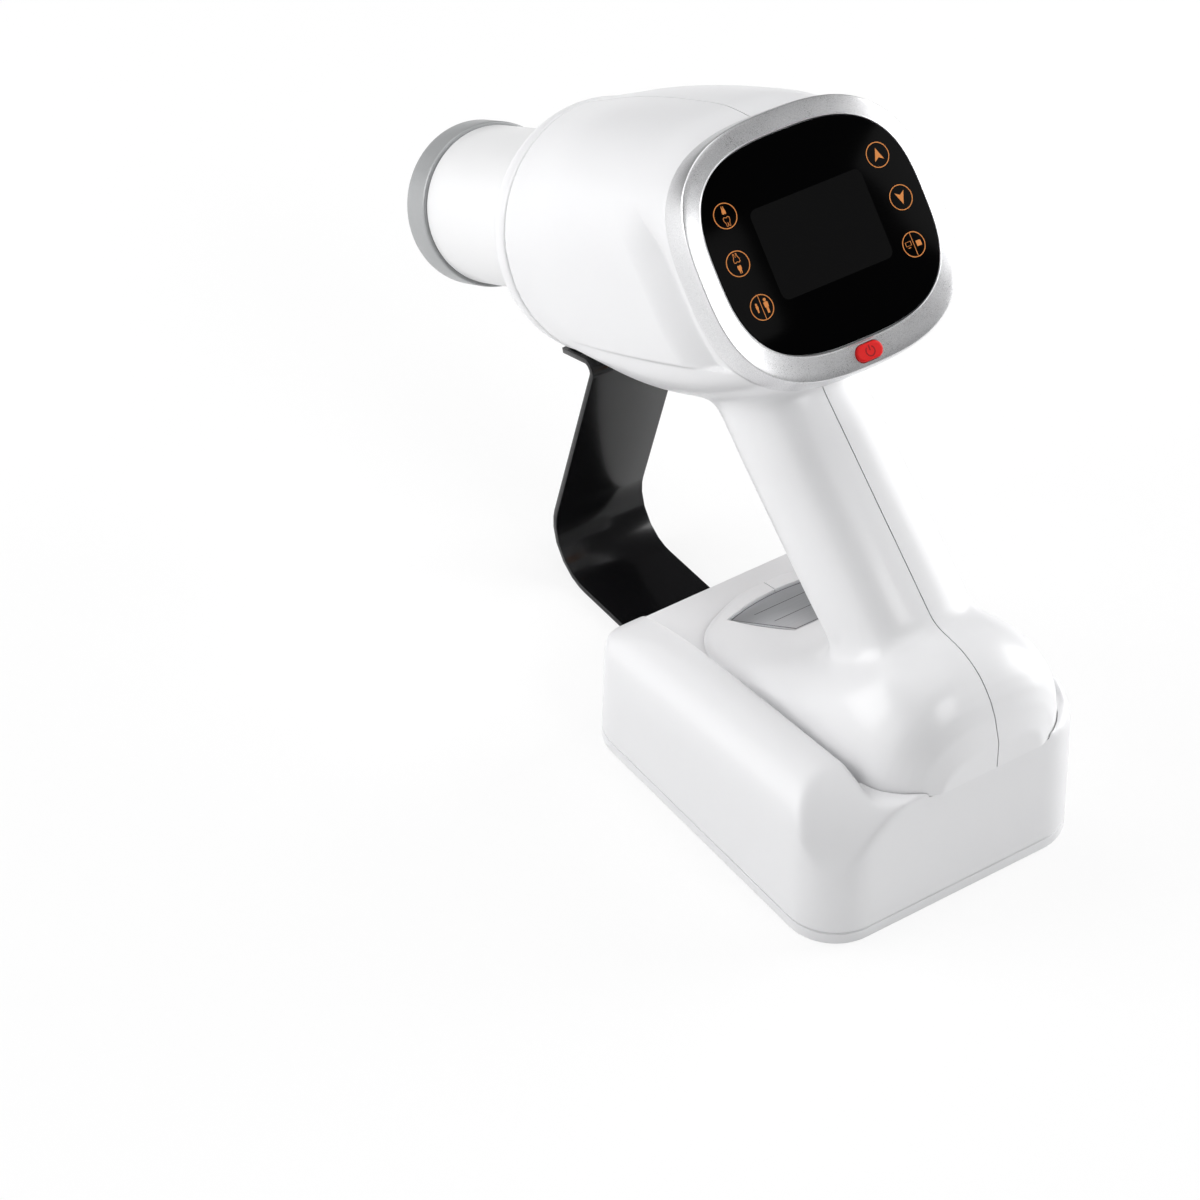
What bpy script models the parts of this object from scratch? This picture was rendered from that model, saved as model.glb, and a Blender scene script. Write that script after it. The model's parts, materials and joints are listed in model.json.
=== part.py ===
"""Handheld dental x-ray unit: head with a beam cone, leaning grip, base and carrying strap.

Frame: origin on the base's underside, in the plane where the two housing halves part.
+Z is up, +Y is the way the beam points and +X is the operator's right.
"""
import math

import bmesh
import bpy
from mathutils import Matrix, Vector

MM = 0.001
GAP = 0.3 * MM
OVERRUN = 3 * MM
MERGE = 0.003 * MM
WELD = 0.01 * MM
WALL = 3 * MM

# Beam axis, cone and head
BEAM_TILT = math.radians(26.0)
TIP_FORWARD = 270.5 * MM
TIP_HEIGHT = 110.8 * MM
CONE_REACH = 112 * MM
CONE_RADIUS = 32.7 * MM
CONE_WALL = 3 * MM
RING_RADIUS = 34.2 * MM
RING_LENGTH = 16 * MM
RING_SPIGOT = 13.5 * MM
FLANGE_RADIUS = 38.5 * MM
FLANGE_THICK = 3 * MM
LINER_WALL = 1.2 * MM
LINER_LENGTH = 76 * MM
HEAD_RADIUS = 51 * MM
HEAD_DROP = 2.5 * MM
HEAD_LENGTH = 149.2 * MM
COLLAR_LENGTH = 19.5 * MM
COLLAR_ROUNDING = 11 * MM
COLLAR_SPIGOT = 6 * MM
RELIEF_DROP = 38.6 * MM
BULKHEAD_THICK = 3 * MM
WINDOW_RADIUS = 18 * MM
TANK_WIDTH = 62 * MM
TANK_HEIGHT = 64 * MM
TANK_LENGTH = 74 * MM
TANK_EDGE = 5 * MM
STANDOFF_LENGTH = 5 * MM
STANDOFF_RADIUS = 2.5 * MM
MAIN_BOARD_WIDTH = 66 * MM
MAIN_BOARD_HEIGHT = 62 * MM
BOARD_THICK = 1.6 * MM
BUZZER_RADIUS = 11 * MM
BUZZER_HEIGHT = 8 * MM

# Display end: offsets run outwards along the display's normal
DISPLAY_TILT = math.radians(42.1)
DISPLAY_LIFT = 5.6 * MM
PANEL_HALF_WIDTH = 46.1 * MM
PANEL_HALF_HEIGHT = 40.4 * MM
PANEL_POWER = 2.93
PANEL_THICK = 2 * MM
BEZEL_HALF_WIDTH = 54 * MM
BEZEL_HALF_HEIGHT = 50.7 * MM
BEZEL_POWER = 2.77
BEZEL_DROP = 1.3 * MM
BEZEL_DEPTH = 14 * MM
BEZEL_LEDGE = 4 * MM
LCD_WIDTH = 58 * MM
LCD_HEIGHT = 42 * MM
LCD_THICK = 5.7 * MM
CONTROL_HALF_WIDTH = 48 * MM
CONTROL_HALF_HEIGHT = 47.2 * MM
DISPLAY_SCREW_ACROSS = 38.5 * MM
DISPLAY_SCREW_UP = 31 * MM
DISPLAY_BOSS_RADIUS = 3.2 * MM
BUTTON_DROP = 45.8 * MM
BUTTON_WIDTH = 11.5 * MM
BUTTON_HEIGHT = 6.5 * MM
BUTTON_PROUD = 0.9 * MM
BUTTON_FLANGE = 1.2 * MM
BUTTON_FLANGE_THICK = 1.1 * MM
BUTTON_TRAVEL = 0.8 * MM
SWITCH_WIDTH = 6 * MM
SWITCH_DEPTH = 3.2 * MM
SWITCH_HEIGHT = 1.0 * MM
CREASE_BEHIND = 121.5 * MM
CREASE_LEAN = 0.33
CREASE_BOW = 240 * MM
CREASE_BITE = 5.2 * MM
CREASE_RUN = 15 * MM
NECK_RUN = 18 * MM
CHEEK_TOP = 31 * MM
CHEEK_DROP = 32 * MM

# Grip
GRIP_ENTRY_BEHIND = 88 * MM
GRIP_ENTRY_DROP = 36.5 * MM
GRIP_HEEL_BACK = 28.3 * MM
GRIP_HEEL_HEIGHT = 78.3 * MM
GRIP_HALF_WIDTH_TOP = 25.6 * MM
GRIP_HALF_WIDTH_LOW = 27 * MM
GRIP_DEPTH_TOP = 50 * MM
GRIP_DEPTH_LOW = 45.5 * MM
GRIP_POWER = 2.6

# Trigger, in the grip's own frame
TRIGGER_FROM_ENTRY = 22.8 * MM
TRIGGER_WIDTH = 14.4 * MM
TRIGGER_LENGTH = 27 * MM
TRIGGER_PROUD = 11 * MM
TRIGGER_INSET = 7 * MM
TRIGGER_HUB = 4.2 * MM
TRIGGER_CLEAR = 2.4 * MM
TRIGGER_PIN_RADIUS = 1.5 * MM
TRIGGER_SWING = math.radians(8)
SPRING_RADIUS = 2.7 * MM
SPRING_LENGTH = 2.9 * MM
BRACKET_PLATE = 1.6 * MM
BRACKET_DEPTH = 14 * MM
TRIGGER_SWITCH_WIDTH = 12.8 * MM
TRIGGER_SWITCH_DEPTH = 8.2 * MM
TRIGGER_SWITCH_HEIGHT = 9 * MM

# Base
BASE_LEFT = 78 * MM
BASE_RIGHT = 49 * MM
BASE_REAR = 79.7 * MM
BASE_FRONT = 80.2 * MM
BASE_CORNER = 21 * MM
BASE_DRAFT = 0.016
PLATE_THICK = 6 * MM
DECK_FRONT_HEIGHT = 42 * MM
DECK_REAR_HEIGHT = 60 * MM
DECK_THICK = 3 * MM
PLATE_INSET = 0.3 * MM
RIM_HEIGHT = 11 * MM
RIM_HEIGHT_RIGHT = 8.5 * MM
RIM_ROUNDING_LEFT = 25 * MM
RIM_ROUNDING_RIGHT = 4.4 * MM
CHANNEL_LEFT = 50 * MM
CHANNEL_RIGHT = 43.5 * MM
CHANNEL_FLARE = 12 * MM
CHANNEL_FLARE_START = 54 * MM
TUB_WALL = 2.6 * MM
BOSS_RADIUS = 4.5 * MM
SCREW_RADIUS = 1.5 * MM
SCREW_HEAD = 3 * MM
SCREW_HEAD_THICK = 2 * MM
BASE_SCREW_INSET = 14 * MM
PAD_RADIUS = 7 * MM
PAD_THICK = 1.5 * MM
PAD_INSET = 26 * MM
FOOT_SCREW_LENGTH = 7 * MM
FOOT_SCREW_SEAT = 1.1 * MM
BASE_SCREW_LENGTH = 9 * MM

# Foot of the grip, on the deck of the base
FOOT_FRONT = 66.5 * MM
FOOT_FRONT_RISE = 4.4 * MM
FOOT_HEEL_HEIGHT = 100 * MM
FOOT_SKIRT = 8 * MM

# Strap
STRAP_WIDTH = 43 * MM
STRAP_CENTRE = -10.5 * MM
STRAP_THICK = 2.4 * MM
STRAP_TOP_BEHIND = 12 * MM
STRAP_TOP_DROP = 48.02 * MM
STRAP_FLANGE = 23 * MM
STRAP_FLANGE_SLOPE = math.radians(15.7)
STRAP_TOE_FORWARD = 174.3 * MM
STRAP_BEND = 21.5 * MM
STRAP_TOP_BEND = 4 * MM
STRAP_CLEAR = 0.6 * MM
STRAP_LAP = 32 * MM
STRAP_SCREW_SPACING = 28 * MM
STRAP_SCREW_REACH = 16.5 * MM
STRAP_SCREW_DEPTH = 8 * MM

# Rating plate on the foot
RATING_WIDTH = 50 * MM
RATING_BACK_WIDTH = 26 * MM
RATING_FRONT = 57 * MM
RATING_REAR = 27 * MM
RATING_ARC_RISE = 5 * MM
RATING_THICK = 0.6 * MM
RATING_SEAT = 1.2 * MM

# Charging jack on the right of the head
JACK_BEHIND = 60 * MM
JACK_DROP = 26 * MM
JACK_RECESS = 0.8 * MM
JACK_RADIUS = 5.5 * MM
JACK_FLANGE_RADIUS = 7.5 * MM
JACK_LENGTH = 12 * MM
JACK_SEAT_DEPTH = 8 * MM
JACK_BORE = 3.2 * MM
JACK_BORE_DEPTH = 9 * MM
JACK_PIN = 1 * MM
JACK_FACE = HEAD_RADIUS - JACK_RECESS
JACK_SEAT = JACK_FACE - JACK_SEAT_DEPTH

# Battery in the base
CELL_RADIUS = 9.1 * MM
CELL_LENGTH = 65 * MM
CELL_COUNT = 4
CELL_PITCH = 19 * MM
TRAY_WALL = 1.5 * MM
TRAY_HEIGHT = 12 * MM
CHARGE_BOARD_WIDTH = 60 * MM
CHARGE_BOARD_DEPTH = 26 * MM
HARNESS_RADIUS = 2.2 * MM

X_AXIS = Vector((1, 0, 0))


def tilted_frame(origin, tilt):
    """Frame with its local X along +X and its local Z facing back and up by the tilt."""
    up = Vector((0, math.sin(tilt), math.cos(tilt)))
    back = Vector((0, -math.cos(tilt), math.sin(tilt)))
    rotation = Matrix((X_AXIS, up, back)).transposed()
    return Matrix.Translation(origin) @ rotation.to_4x4()


BEAM = tilted_frame(Vector((0, TIP_FORWARD, TIP_HEIGHT)), BEAM_TILT)
DISPLAY_REACH = CONE_REACH + HEAD_LENGTH
DISPLAY = tilted_frame(BEAM @ Vector((0, DISPLAY_LIFT, DISPLAY_REACH)), DISPLAY_TILT)


def grip_frame():
    """Origin where the grip enters the head, local Z up along the grip, local Y to its front."""
    top = BEAM @ Vector((0, -GRIP_ENTRY_DROP, CONE_REACH + GRIP_ENTRY_BEHIND))
    heel = Vector((0, -GRIP_HEEL_BACK, GRIP_HEEL_HEIGHT))
    along = (top - heel).normalized()
    front = along.cross(X_AXIS)
    rotation = Matrix((X_AXIS, front, along)).transposed()
    return Matrix.Translation(top) @ rotation.to_4x4(), (top - heel).length


GRIP, GRIP_LENGTH = grip_frame()
DECK_LENGTH = BASE_REAR + BASE_FRONT
DECK_SLOPE = math.atan2(DECK_REAR_HEIGHT - DECK_FRONT_HEIGHT, DECK_LENGTH)


def deck_height(y):
    """Height of the base's deck at a place along the base."""
    return DECK_FRONT_HEIGHT + (BASE_FRONT - y) * math.tan(DECK_SLOPE)


def clear_scene():
    for obj in list(bpy.data.objects):
        bpy.data.objects.remove(obj, do_unlink=True)


def collection(name):
    group = bpy.data.collections.new(name)
    bpy.context.scene.collection.children.link(group)
    return group


clear_scene()
PARTS = collection("dental_xray_unit")
CUTTERS = collection("cutters")


def material(name, colour, roughness, metallic=0.0):
    mat = bpy.data.materials.new(name)
    mat.use_nodes = True
    shader = mat.node_tree.nodes["Principled BSDF"]
    shader.inputs["Base Color"].default_value = (*colour, 1)
    shader.inputs["Roughness"].default_value = roughness
    shader.inputs["Metallic"].default_value = metallic
    return mat


WHITE = material("white_shell", (0.86, 0.86, 0.87), 0.25)
GREY = material("grey_ring", (0.5, 0.5, 0.51), 0.4)
SILVER = material("silver_bezel", (0.62, 0.62, 0.63), 0.35, 0.8)
BLACK = material("black_glass", (0.01, 0.01, 0.01), 0.1)
STRAP_BLACK = material("strap_black", (0.015, 0.015, 0.016), 0.2)
RED = material("red_button", (0.75, 0.05, 0.06), 0.3)
ORANGE = material("orange_trigger", (0.85, 0.35, 0.05), 0.35)
PLATE = material("rating_plate", (0.55, 0.57, 0.6), 0.35, 0.6)
STEEL = material("steel", (0.55, 0.55, 0.56), 0.35, 1.0)
LEAD = material("lead", (0.25, 0.26, 0.28), 0.6, 0.8)
ALUMINIUM = material("aluminium", (0.7, 0.7, 0.72), 0.4, 1.0)
BOARD = material("circuit_board", (0.02, 0.2, 0.08), 0.5)
DARK = material("dark_plastic", (0.03, 0.03, 0.03), 0.45)
RUBBER = material("rubber", (0.04, 0.04, 0.04), 0.8)
CELL = material("cell_wrap", (0.05, 0.2, 0.45), 0.4)


def add_mesh(name, bm, group=None):
    """Turns a bmesh into an object and shades it smooth between sharp edges."""
    bm.normal_update()
    bmesh.ops.recalc_face_normals(bm, faces=bm.faces)
    mesh = bpy.data.meshes.new(name)
    bm.to_mesh(mesh)
    bm.free()
    obj = bpy.data.objects.new(name, mesh)
    (group or CUTTERS).objects.link(obj)
    if obj.name in CUTTERS.objects:
        obj.hide_render = True
        obj.display_type = "WIRE"
    return obj


def loft(name, rings, closed=False):
    """Skin between rings of equal count, capped at both ends or closed on itself."""
    bm = bmesh.new()
    loops = [[bm.verts.new(point) for point in ring] for ring in rings]
    count = len(loops[0])
    pairs = list(zip(loops, loops[1:]))
    if closed:
        pairs.append((loops[-1], loops[0]))
    for near, far in pairs:
        for i in range(count):
            j = (i + 1) % count
            bm.faces.new((near[i], near[j], far[j], far[i]))
    if not closed:
        bm.faces.new(loops[0])
        bm.faces.new(loops[-1])
    return add_mesh(name, bm)


def bake(obj):
    """Replaces an object's mesh by what its modifiers make of it."""
    graph = bpy.context.evaluated_depsgraph_get()
    mesh = bpy.data.meshes.new_from_object(obj.evaluated_get(graph))
    obj.modifiers.clear()
    obj.data = mesh
    return obj


def boolean(obj, tool, operation="DIFFERENCE"):
    step = obj.modifiers.new(operation.lower(), "BOOLEAN")
    step.operation = operation
    step.solver = "EXACT"
    step.object = tool
    bake(obj)
    bm = bmesh.new()
    bm.from_mesh(obj.data)
    bmesh.ops.remove_doubles(bm, verts=bm.verts, dist=MERGE)
    bmesh.ops.dissolve_degenerate(bm, edges=bm.edges, dist=MERGE)
    bm.to_mesh(obj.data)
    bm.free()
    return obj


def place(obj, frame):
    """Moves the mesh itself, so that frames never stack up."""
    obj.data.transform(frame)
    return obj


def box(name, low, high, frame=Matrix.Identity(4), edge=0):
    """Box between two corners of a frame, with its edges rounded if asked."""
    bm = bmesh.new()
    bmesh.ops.create_cube(bm, size=1)
    middle = (Vector(low) + Vector(high)) / 2
    span = Vector(high) - Vector(low)
    bmesh.ops.scale(bm, vec=span, verts=bm.verts)
    bmesh.ops.translate(bm, vec=middle, verts=bm.verts)
    if edge:
        bmesh.ops.bevel(bm, geom=bm.edges, offset=edge, segments=3, affect="EDGES", profile=0.5)
    return place(add_mesh(name, bm), frame)


def rod(name, radius, start, end, frame=Matrix.Identity(4), sides=24):
    """Cylinder between two points of a frame."""
    run = Vector(end) - Vector(start)
    bm = bmesh.new()
    bmesh.ops.create_cone(bm, cap_ends=True, segments=sides, radius1=radius, radius2=radius,
                          depth=run.length)
    turn = run.to_track_quat("Z", "Y").to_matrix().to_4x4()
    middle = Matrix.Translation((Vector(start) + Vector(end)) / 2)
    bm.transform(middle @ turn)
    return place(add_mesh(name, bm), frame)


def turned(name, profile, frame, steps=48):
    """Closed profile of (radius, height) points, outer side first from top to bottom, turned."""
    bm = bmesh.new()
    points = [bm.verts.new((radius, 0, height)) for radius, height in profile]
    for i in range(len(points)):
        bm.edges.new((points[i], points[(i + 1) % len(points)]))
    mesh = bpy.data.meshes.new(name)
    bm.to_mesh(mesh)
    bm.free()
    obj = bpy.data.objects.new(name, mesh)
    CUTTERS.objects.link(obj)
    obj.hide_render = True
    obj.display_type = "WIRE"
    screw = obj.modifiers.new("turn", "SCREW")
    screw.steps = steps
    screw.render_steps = steps
    screw.use_merge_vertices = True
    screw.merge_threshold = WELD
    bake(obj)
    return place(obj, frame)


def slab(name, outline, low, high, frame=Matrix.Identity(4)):
    """Flat outline in a frame's XY plane, filled and extruded from low to high along its Z."""
    curve = bpy.data.curves.new(name, "CURVE")
    curve.dimensions = "2D"
    curve.fill_mode = "BOTH"
    curve.extrude = (high - low) / 2
    spline = curve.splines.new("POLY")
    spline.points.add(len(outline) - 1)
    for point, (x, y) in zip(spline.points, outline):
        point.co = (x, y, 0, 1)
    spline.use_cyclic_u = True
    drawn = bpy.data.objects.new(name + "_curve", curve)
    CUTTERS.objects.link(drawn)
    graph = bpy.context.evaluated_depsgraph_get()
    mesh = bpy.data.meshes.new_from_object(drawn.evaluated_get(graph))
    bpy.data.objects.remove(drawn, do_unlink=True)
    bm = bmesh.new()
    bm.from_mesh(mesh)
    bpy.data.meshes.remove(mesh)
    bmesh.ops.remove_doubles(bm, verts=bm.verts, dist=WELD)
    bmesh.ops.translate(bm, vec=(0, 0, (low + high) / 2), verts=bm.verts)
    return place(add_mesh(name, bm), frame)


SIDE_FRAME = Matrix(((0, 0, 1, 0), (1, 0, 0, 0), (0, 1, 0, 0), (0, 0, 0, 1)))


def side_slab(name, outline, left, right, frame=Matrix.Identity(4)):
    """Outline of (y, z) points, extruded from left to right along X."""
    return slab(name, outline, left, right, frame @ SIDE_FRAME)


def part(obj, name, mat, sharp_angle=math.radians(35)):
    """Files a finished solid under its node name, in its material."""
    obj.name = name
    obj.data.name = name
    obj.data.materials.clear()
    obj.data.materials.append(mat)
    for polygon in obj.data.polygons:
        polygon.material_index = 0
    obj.data.shade_smooth()
    obj.data.set_sharp_from_angle(angle=sharp_angle)
    CUTTERS.objects.unlink(obj)
    PARTS.objects.link(obj)
    obj.hide_render = False
    obj.display_type = "TEXTURED"
    return obj


def duplicate(obj, name):
    copy = bpy.data.objects.new(name, obj.data.copy())
    CUTTERS.objects.link(copy)
    copy.hide_render = True
    copy.display_type = "WIRE"
    return copy


def row(pieces, name, mat):
    """Files equal solids as numbered nodes."""
    for i, piece in enumerate(pieces):
        part(piece, f"{name}_{i + 1}", mat)


def joined(name, pieces):
    """Several separate solids as one cutter."""
    bm = bmesh.new()
    for piece in pieces:
        bm.from_mesh(piece.data)
        bpy.data.objects.remove(piece, do_unlink=True)
    return add_mesh(name, bm)


def superellipse(half_width, half_height, power, count=48, drop=0):
    """Ring of (x, y) points round a rounded rectangle."""
    points = []
    for i in range(count):
        angle = 2 * math.pi * i / count
        c = math.cos(angle)
        s = math.sin(angle)
        x = half_width * math.copysign(abs(c) ** (2 / power), c)
        y = half_height * math.copysign(abs(s) ** (2 / power), s) - drop
        points.append((x, y))
    return points


def display_ring(share, depth, count=48):
    """Outline between the panel's (share 0) and the bezel's (share 1), at a depth."""
    half_width = PANEL_HALF_WIDTH + share * (BEZEL_HALF_WIDTH - PANEL_HALF_WIDTH)
    half_height = PANEL_HALF_HEIGHT + share * (BEZEL_HALF_HEIGHT - PANEL_HALF_HEIGHT)
    power = PANEL_POWER + share * (BEZEL_POWER - PANEL_POWER)
    flat = superellipse(half_width, half_height, power, count, share * BEZEL_DROP)
    return [DISPLAY @ Vector((x, y, -depth)) for x, y in flat]


def stadium(width, height, count=8):
    """Slot outline, longer along X."""
    radius = height / 2
    reach = width / 2 - radius
    points = []
    for side in (1, -1):
        for i in range(count + 1):
            angle = -math.pi / 2 + math.pi * i / count
            points.append((side * (reach + radius * math.cos(angle)), side * radius * math.sin(angle)))
    return points


def rounded_plan(inset, height, corner_steps=6):
    """Plan outline of the base at a height, moved inwards by an inset."""
    draft = BASE_DRAFT * height + inset
    left = -BASE_LEFT + draft
    right = BASE_RIGHT - draft
    rear = -BASE_REAR + draft
    front = BASE_FRONT - draft
    radius = BASE_CORNER - inset
    corners = ((right, front, 0), (left, front, 1), (left, rear, 2), (right, rear, 3))
    points = []
    for x, y, quarter in corners:
        cx = x - math.copysign(radius, x - (left + right) / 2)
        cy = y - math.copysign(radius, y)
        for i in range(corner_steps + 1):
            angle = math.pi / 2 * (quarter + i / corner_steps)
            points.append(Vector((cx + radius * math.cos(angle), cy + radius * math.sin(angle), height)))
    return points


# Head sections: share of the way from the rim to the display, upper and lower half height and
# half width as shares of the head's radius, and the roundness of the section
HEAD_SECTION_SHARES = (
    (0.00, 1.00, 1.00, 1.00, 2.00),
    (0.13, 1.00, 1.06, 1.00, 2.15),
    (0.30, 1.02, 1.13, 1.02, 2.35),
    (0.50, 1.04, 1.16, 1.03, 2.55),
    (0.70, 1.04, 1.12, 1.04, 2.70),
    (0.86, 1.04, 1.04, 1.05, 2.80),
)


def head_ring(share, up_share, down_share, side_share, power, inset, count=40):
    """One section of the head, leaning from the beam's square to the display's plane."""
    rim = BEAM @ Vector((0, -HEAD_DROP, CONE_REACH))
    rear = DISPLAY @ Vector((0, -BEZEL_DROP, -BEZEL_DEPTH - GAP))
    centre = rim.lerp(rear, share)
    lean = BEAM_TILT + (DISPLAY_TILT - BEAM_TILT) * share * share
    frame = tilted_frame(centre, lean)
    ring = []
    for x, y in superellipse(1, 1, power, count):
        tall = up_share if y > 0 else down_share
        ring.append(frame @ Vector((x * (HEAD_RADIUS * side_share - inset),
                                    y * (HEAD_RADIUS * tall - inset), 0)))
    return ring


def head_loft(name, inset, over):
    """The head as a closed solid, shrunk by an inset and run past both ends by an overrun."""
    rings = [head_ring(*shares, inset) for shares in HEAD_SECTION_SHARES]
    rear_flat = superellipse(BEZEL_HALF_WIDTH - GAP * 4 - inset, BEZEL_HALF_HEIGHT - GAP * 4 - inset,
                             BEZEL_POWER, 40, BEZEL_DROP)
    rings.append([DISPLAY @ Vector((x, y, -BEZEL_DEPTH - GAP + over)) for x, y in rear_flat])
    if over:
        lead = BEAM.to_3x3() @ Vector((0, 0, -over))
        rings[0] = [point + lead for point in rings[0]]
    return loft(name, rings)


GRIP_STATION_SHARES = (0.0, 0.25, 0.5, 0.75, 1.0)


def grip_loft(name, inset):
    """The grip as a closed solid, shrunk by an inset."""
    rings = []
    for share in GRIP_STATION_SHARES:
        half_width = GRIP_HALF_WIDTH_TOP + share * (GRIP_HALF_WIDTH_LOW - GRIP_HALF_WIDTH_TOP) - inset
        half_depth = (GRIP_DEPTH_TOP + share * (GRIP_DEPTH_LOW - GRIP_DEPTH_TOP)) / 2 - inset
        flat = superellipse(half_width, half_depth, GRIP_POWER, 32)
        rings.append([GRIP @ Vector((x, y, -share * GRIP_LENGTH)) for x, y in flat])
    return loft(name, rings)


# Foot sections: place along the foot from its rear wall to its front edge as a share, height of
# its top above the deck as a share of the heel's rise, half width as a share of the channel's
# half width, and the roundness of the section
FOOT_SECTION_SHARES = (
    (0.000, 0.22, 0.83, 3.0),
    (0.016, 0.42, 0.90, 2.8),
    (0.050, 0.62, 0.95, 2.7),
    (0.105, 0.80, 0.99, 2.5),
    (0.190, 0.96, 1.00, 2.45),
    (0.280, 1.00, 1.00, 2.4),
    (0.385, 0.85, 1.00, 2.4),
    (0.500, 0.56, 1.00, 2.6),
    (0.610, 0.38, 1.00, 3.2),
    (0.720, 0.22, 0.99, 4.5),
    (0.840, 0.145, 0.94, 5.5),
    (0.920, 0.115, 0.80, 6.0),
    (0.970, 0.100, 0.56, 6.0),
    (1.000, 0.085, 0.30, 6.0),
)


def foot_loft(name, inset):
    """The foot as a closed solid that reaches below the deck, shrunk by an inset."""
    middle = (CHANNEL_RIGHT - CHANNEL_LEFT) / 2
    half = (CHANNEL_RIGHT + CHANNEL_LEFT) / 2 - 2 * GAP
    start = -BASE_REAR - GAP * 2
    heel_rise = FOOT_HEEL_HEIGHT - deck_height(start + 0.28 * (FOOT_FRONT - start))
    count = 18
    rings = []
    for along, tall, wide, power in FOOT_SECTION_SHARES:
        y = start + along * (FOOT_FRONT - start)
        y += inset * (1 - 2 * along)
        low = deck_height(y) - FOOT_SKIRT
        rise = FOOT_SKIRT + tall * heel_rise - inset
        ring = []
        for i in range(count + 1):
            angle = math.pi * i / count
            c = math.cos(angle)
            s = max(math.sin(angle), 0)
            x = (half * wide - inset) * math.copysign(abs(c) ** (2 / power), c)
            lift = s ** (2 / power)
            ring.append(Vector((middle * (1 - lift) + x, y, low + rise * lift)))
        rings.append(ring)
    return loft(name, rings)


def under_deck(name, clearance):
    """Everything below a plane that lies a clearance above the deck."""
    reach = 2 * DECK_LENGTH
    return box(name, (-reach, -reach, -reach), (reach, reach, 0), deck_frame(clearance))


def strap_top():
    """Corner of the strap's upper bend, under the front of the head."""
    return BEAM @ Vector((0, -STRAP_TOP_DROP, CONE_REACH + STRAP_TOP_BEHIND))


def strap_notch(name, grow):
    """Pocket in the head's underside that takes the strap's upper flange."""
    frame = Matrix.Translation(strap_top()) @ Matrix.Rotation(-STRAP_FLANGE_SLOPE, 4, "X")
    half = STRAP_WIDTH / 2 + 2 * GAP + grow
    low = (STRAP_CENTRE - half, -STRAP_THICK * 1.5 - grow, -HEAD_RADIUS / 2)
    high = (STRAP_CENTRE + half, STRAP_FLANGE + STRAP_THICK / 2 + grow,
            STRAP_THICK / 2 + GAP + grow)
    return box(name, low, high, frame)


def flange_point(along, above):
    """Point on the strap's flange: along it from its bend, and above its mid plane."""
    turn = Matrix.Rotation(-STRAP_FLANGE_SLOPE, 3, "X")
    return strap_top() + turn @ Vector((0, along, above))


# Cheek valley: height between the cheek's lower and upper edge, and the valley's depth, as shares
VALLEY_DEPTH_SHARES = ((0.0, 1.0), (0.2, 1.0), (0.4, 0.95), (0.6, 0.8), (0.8, 0.5), (1.0, 0.12))
CHEEK_WIDTH_SHARE = 1.04
CHEEK_HEIGHT_SHARES = (1.04, 1.12)
CHEEK_POWER = 2.7


def cheek_face(y):
    """Half width of the head at a height above the beam axis, where the cheeks end."""
    up_share, down_share = CHEEK_HEIGHT_SHARES
    tall = HEAD_RADIUS * (up_share if y > -HEAD_DROP else down_share)
    across = 1 - min(abs(y + HEAD_DROP) / tall, 1) ** CHEEK_POWER
    return HEAD_RADIUS * CHEEK_WIDTH_SHARE * across ** (1 / CHEEK_POWER)


def valleys(name, grow):
    """Wedges behind the cheeks, one on each side: a slope down to the crease and up the neck."""
    tools = []
    for side in (-1, 1):
        rings = []
        for share, depth_share in VALLEY_DEPTH_SHARES:
            y = -CHEEK_DROP + share * (CHEEK_TOP + CHEEK_DROP)
            crease = CONE_REACH + CREASE_BEHIND - CREASE_LEAN * y - y * y / CREASE_BOW
            bite = CREASE_BITE * depth_share + grow
            out = OVERRUN / bite
            face = cheek_face(y)
            y += grow * (2 * share - 1)
            ring = [(face + OVERRUN, crease - (CREASE_RUN + grow) * (1 + out)),
                    (face - bite, crease - grow / 2), (face - bite, crease + grow / 2 + GAP),
                    (face + OVERRUN, crease + (NECK_RUN + grow) * (1 + out))]
            rings.append([BEAM @ Vector((side * x, y, z)) for x, z in ring])
        tools.append(loft(name, rings))
    return joined(name, tools)


def trigger_frame():
    """Frame at the trigger's pin, with local Y to the grip's front and local Z up along it."""
    share = TRIGGER_FROM_ENTRY / GRIP_LENGTH
    half_depth = (GRIP_DEPTH_TOP + share * (GRIP_DEPTH_LOW - GRIP_DEPTH_TOP)) / 2
    offset = Vector((0, half_depth - TRIGGER_INSET, -TRIGGER_FROM_ENTRY))
    return GRIP @ Matrix.Translation(offset)


TRIGGER = trigger_frame()


def screw_down(name, head, tip, radius=SCREW_RADIUS, head_radius=SCREW_HEAD,
               head_thick=SCREW_HEAD_THICK):
    """Pan-head screw: head from a point outwards, shank towards the tip."""
    start = Vector(head)
    run = (Vector(tip) - start).normalized()
    shank = rod(name, radius, start - run * head_thick / 2, tip, sides=12)
    cap = rod(name + "_head", head_radius, start - run * head_thick, start, sides=16)
    boolean(shank, cap, "UNION")
    bpy.data.objects.remove(cap, do_unlink=True)
    return shank


def jack_places():
    """Frame of the jack: on the beam axis's height, local X to the right."""
    return BEAM @ Matrix.Translation((0, -JACK_DROP, CONE_REACH + JACK_BEHIND))


def foot_screw_spots():
    """Places on the deck where the foot is screwed down."""
    middle = (CHANNEL_RIGHT - CHANNEL_LEFT) / 2
    reach = (CHANNEL_RIGHT + CHANNEL_LEFT) * 0.34
    return [(middle + side * reach, y) for side in (-1, 1) for y in (-BASE_REAR * 0.62, FOOT_FRONT * 0.3)]


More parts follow.
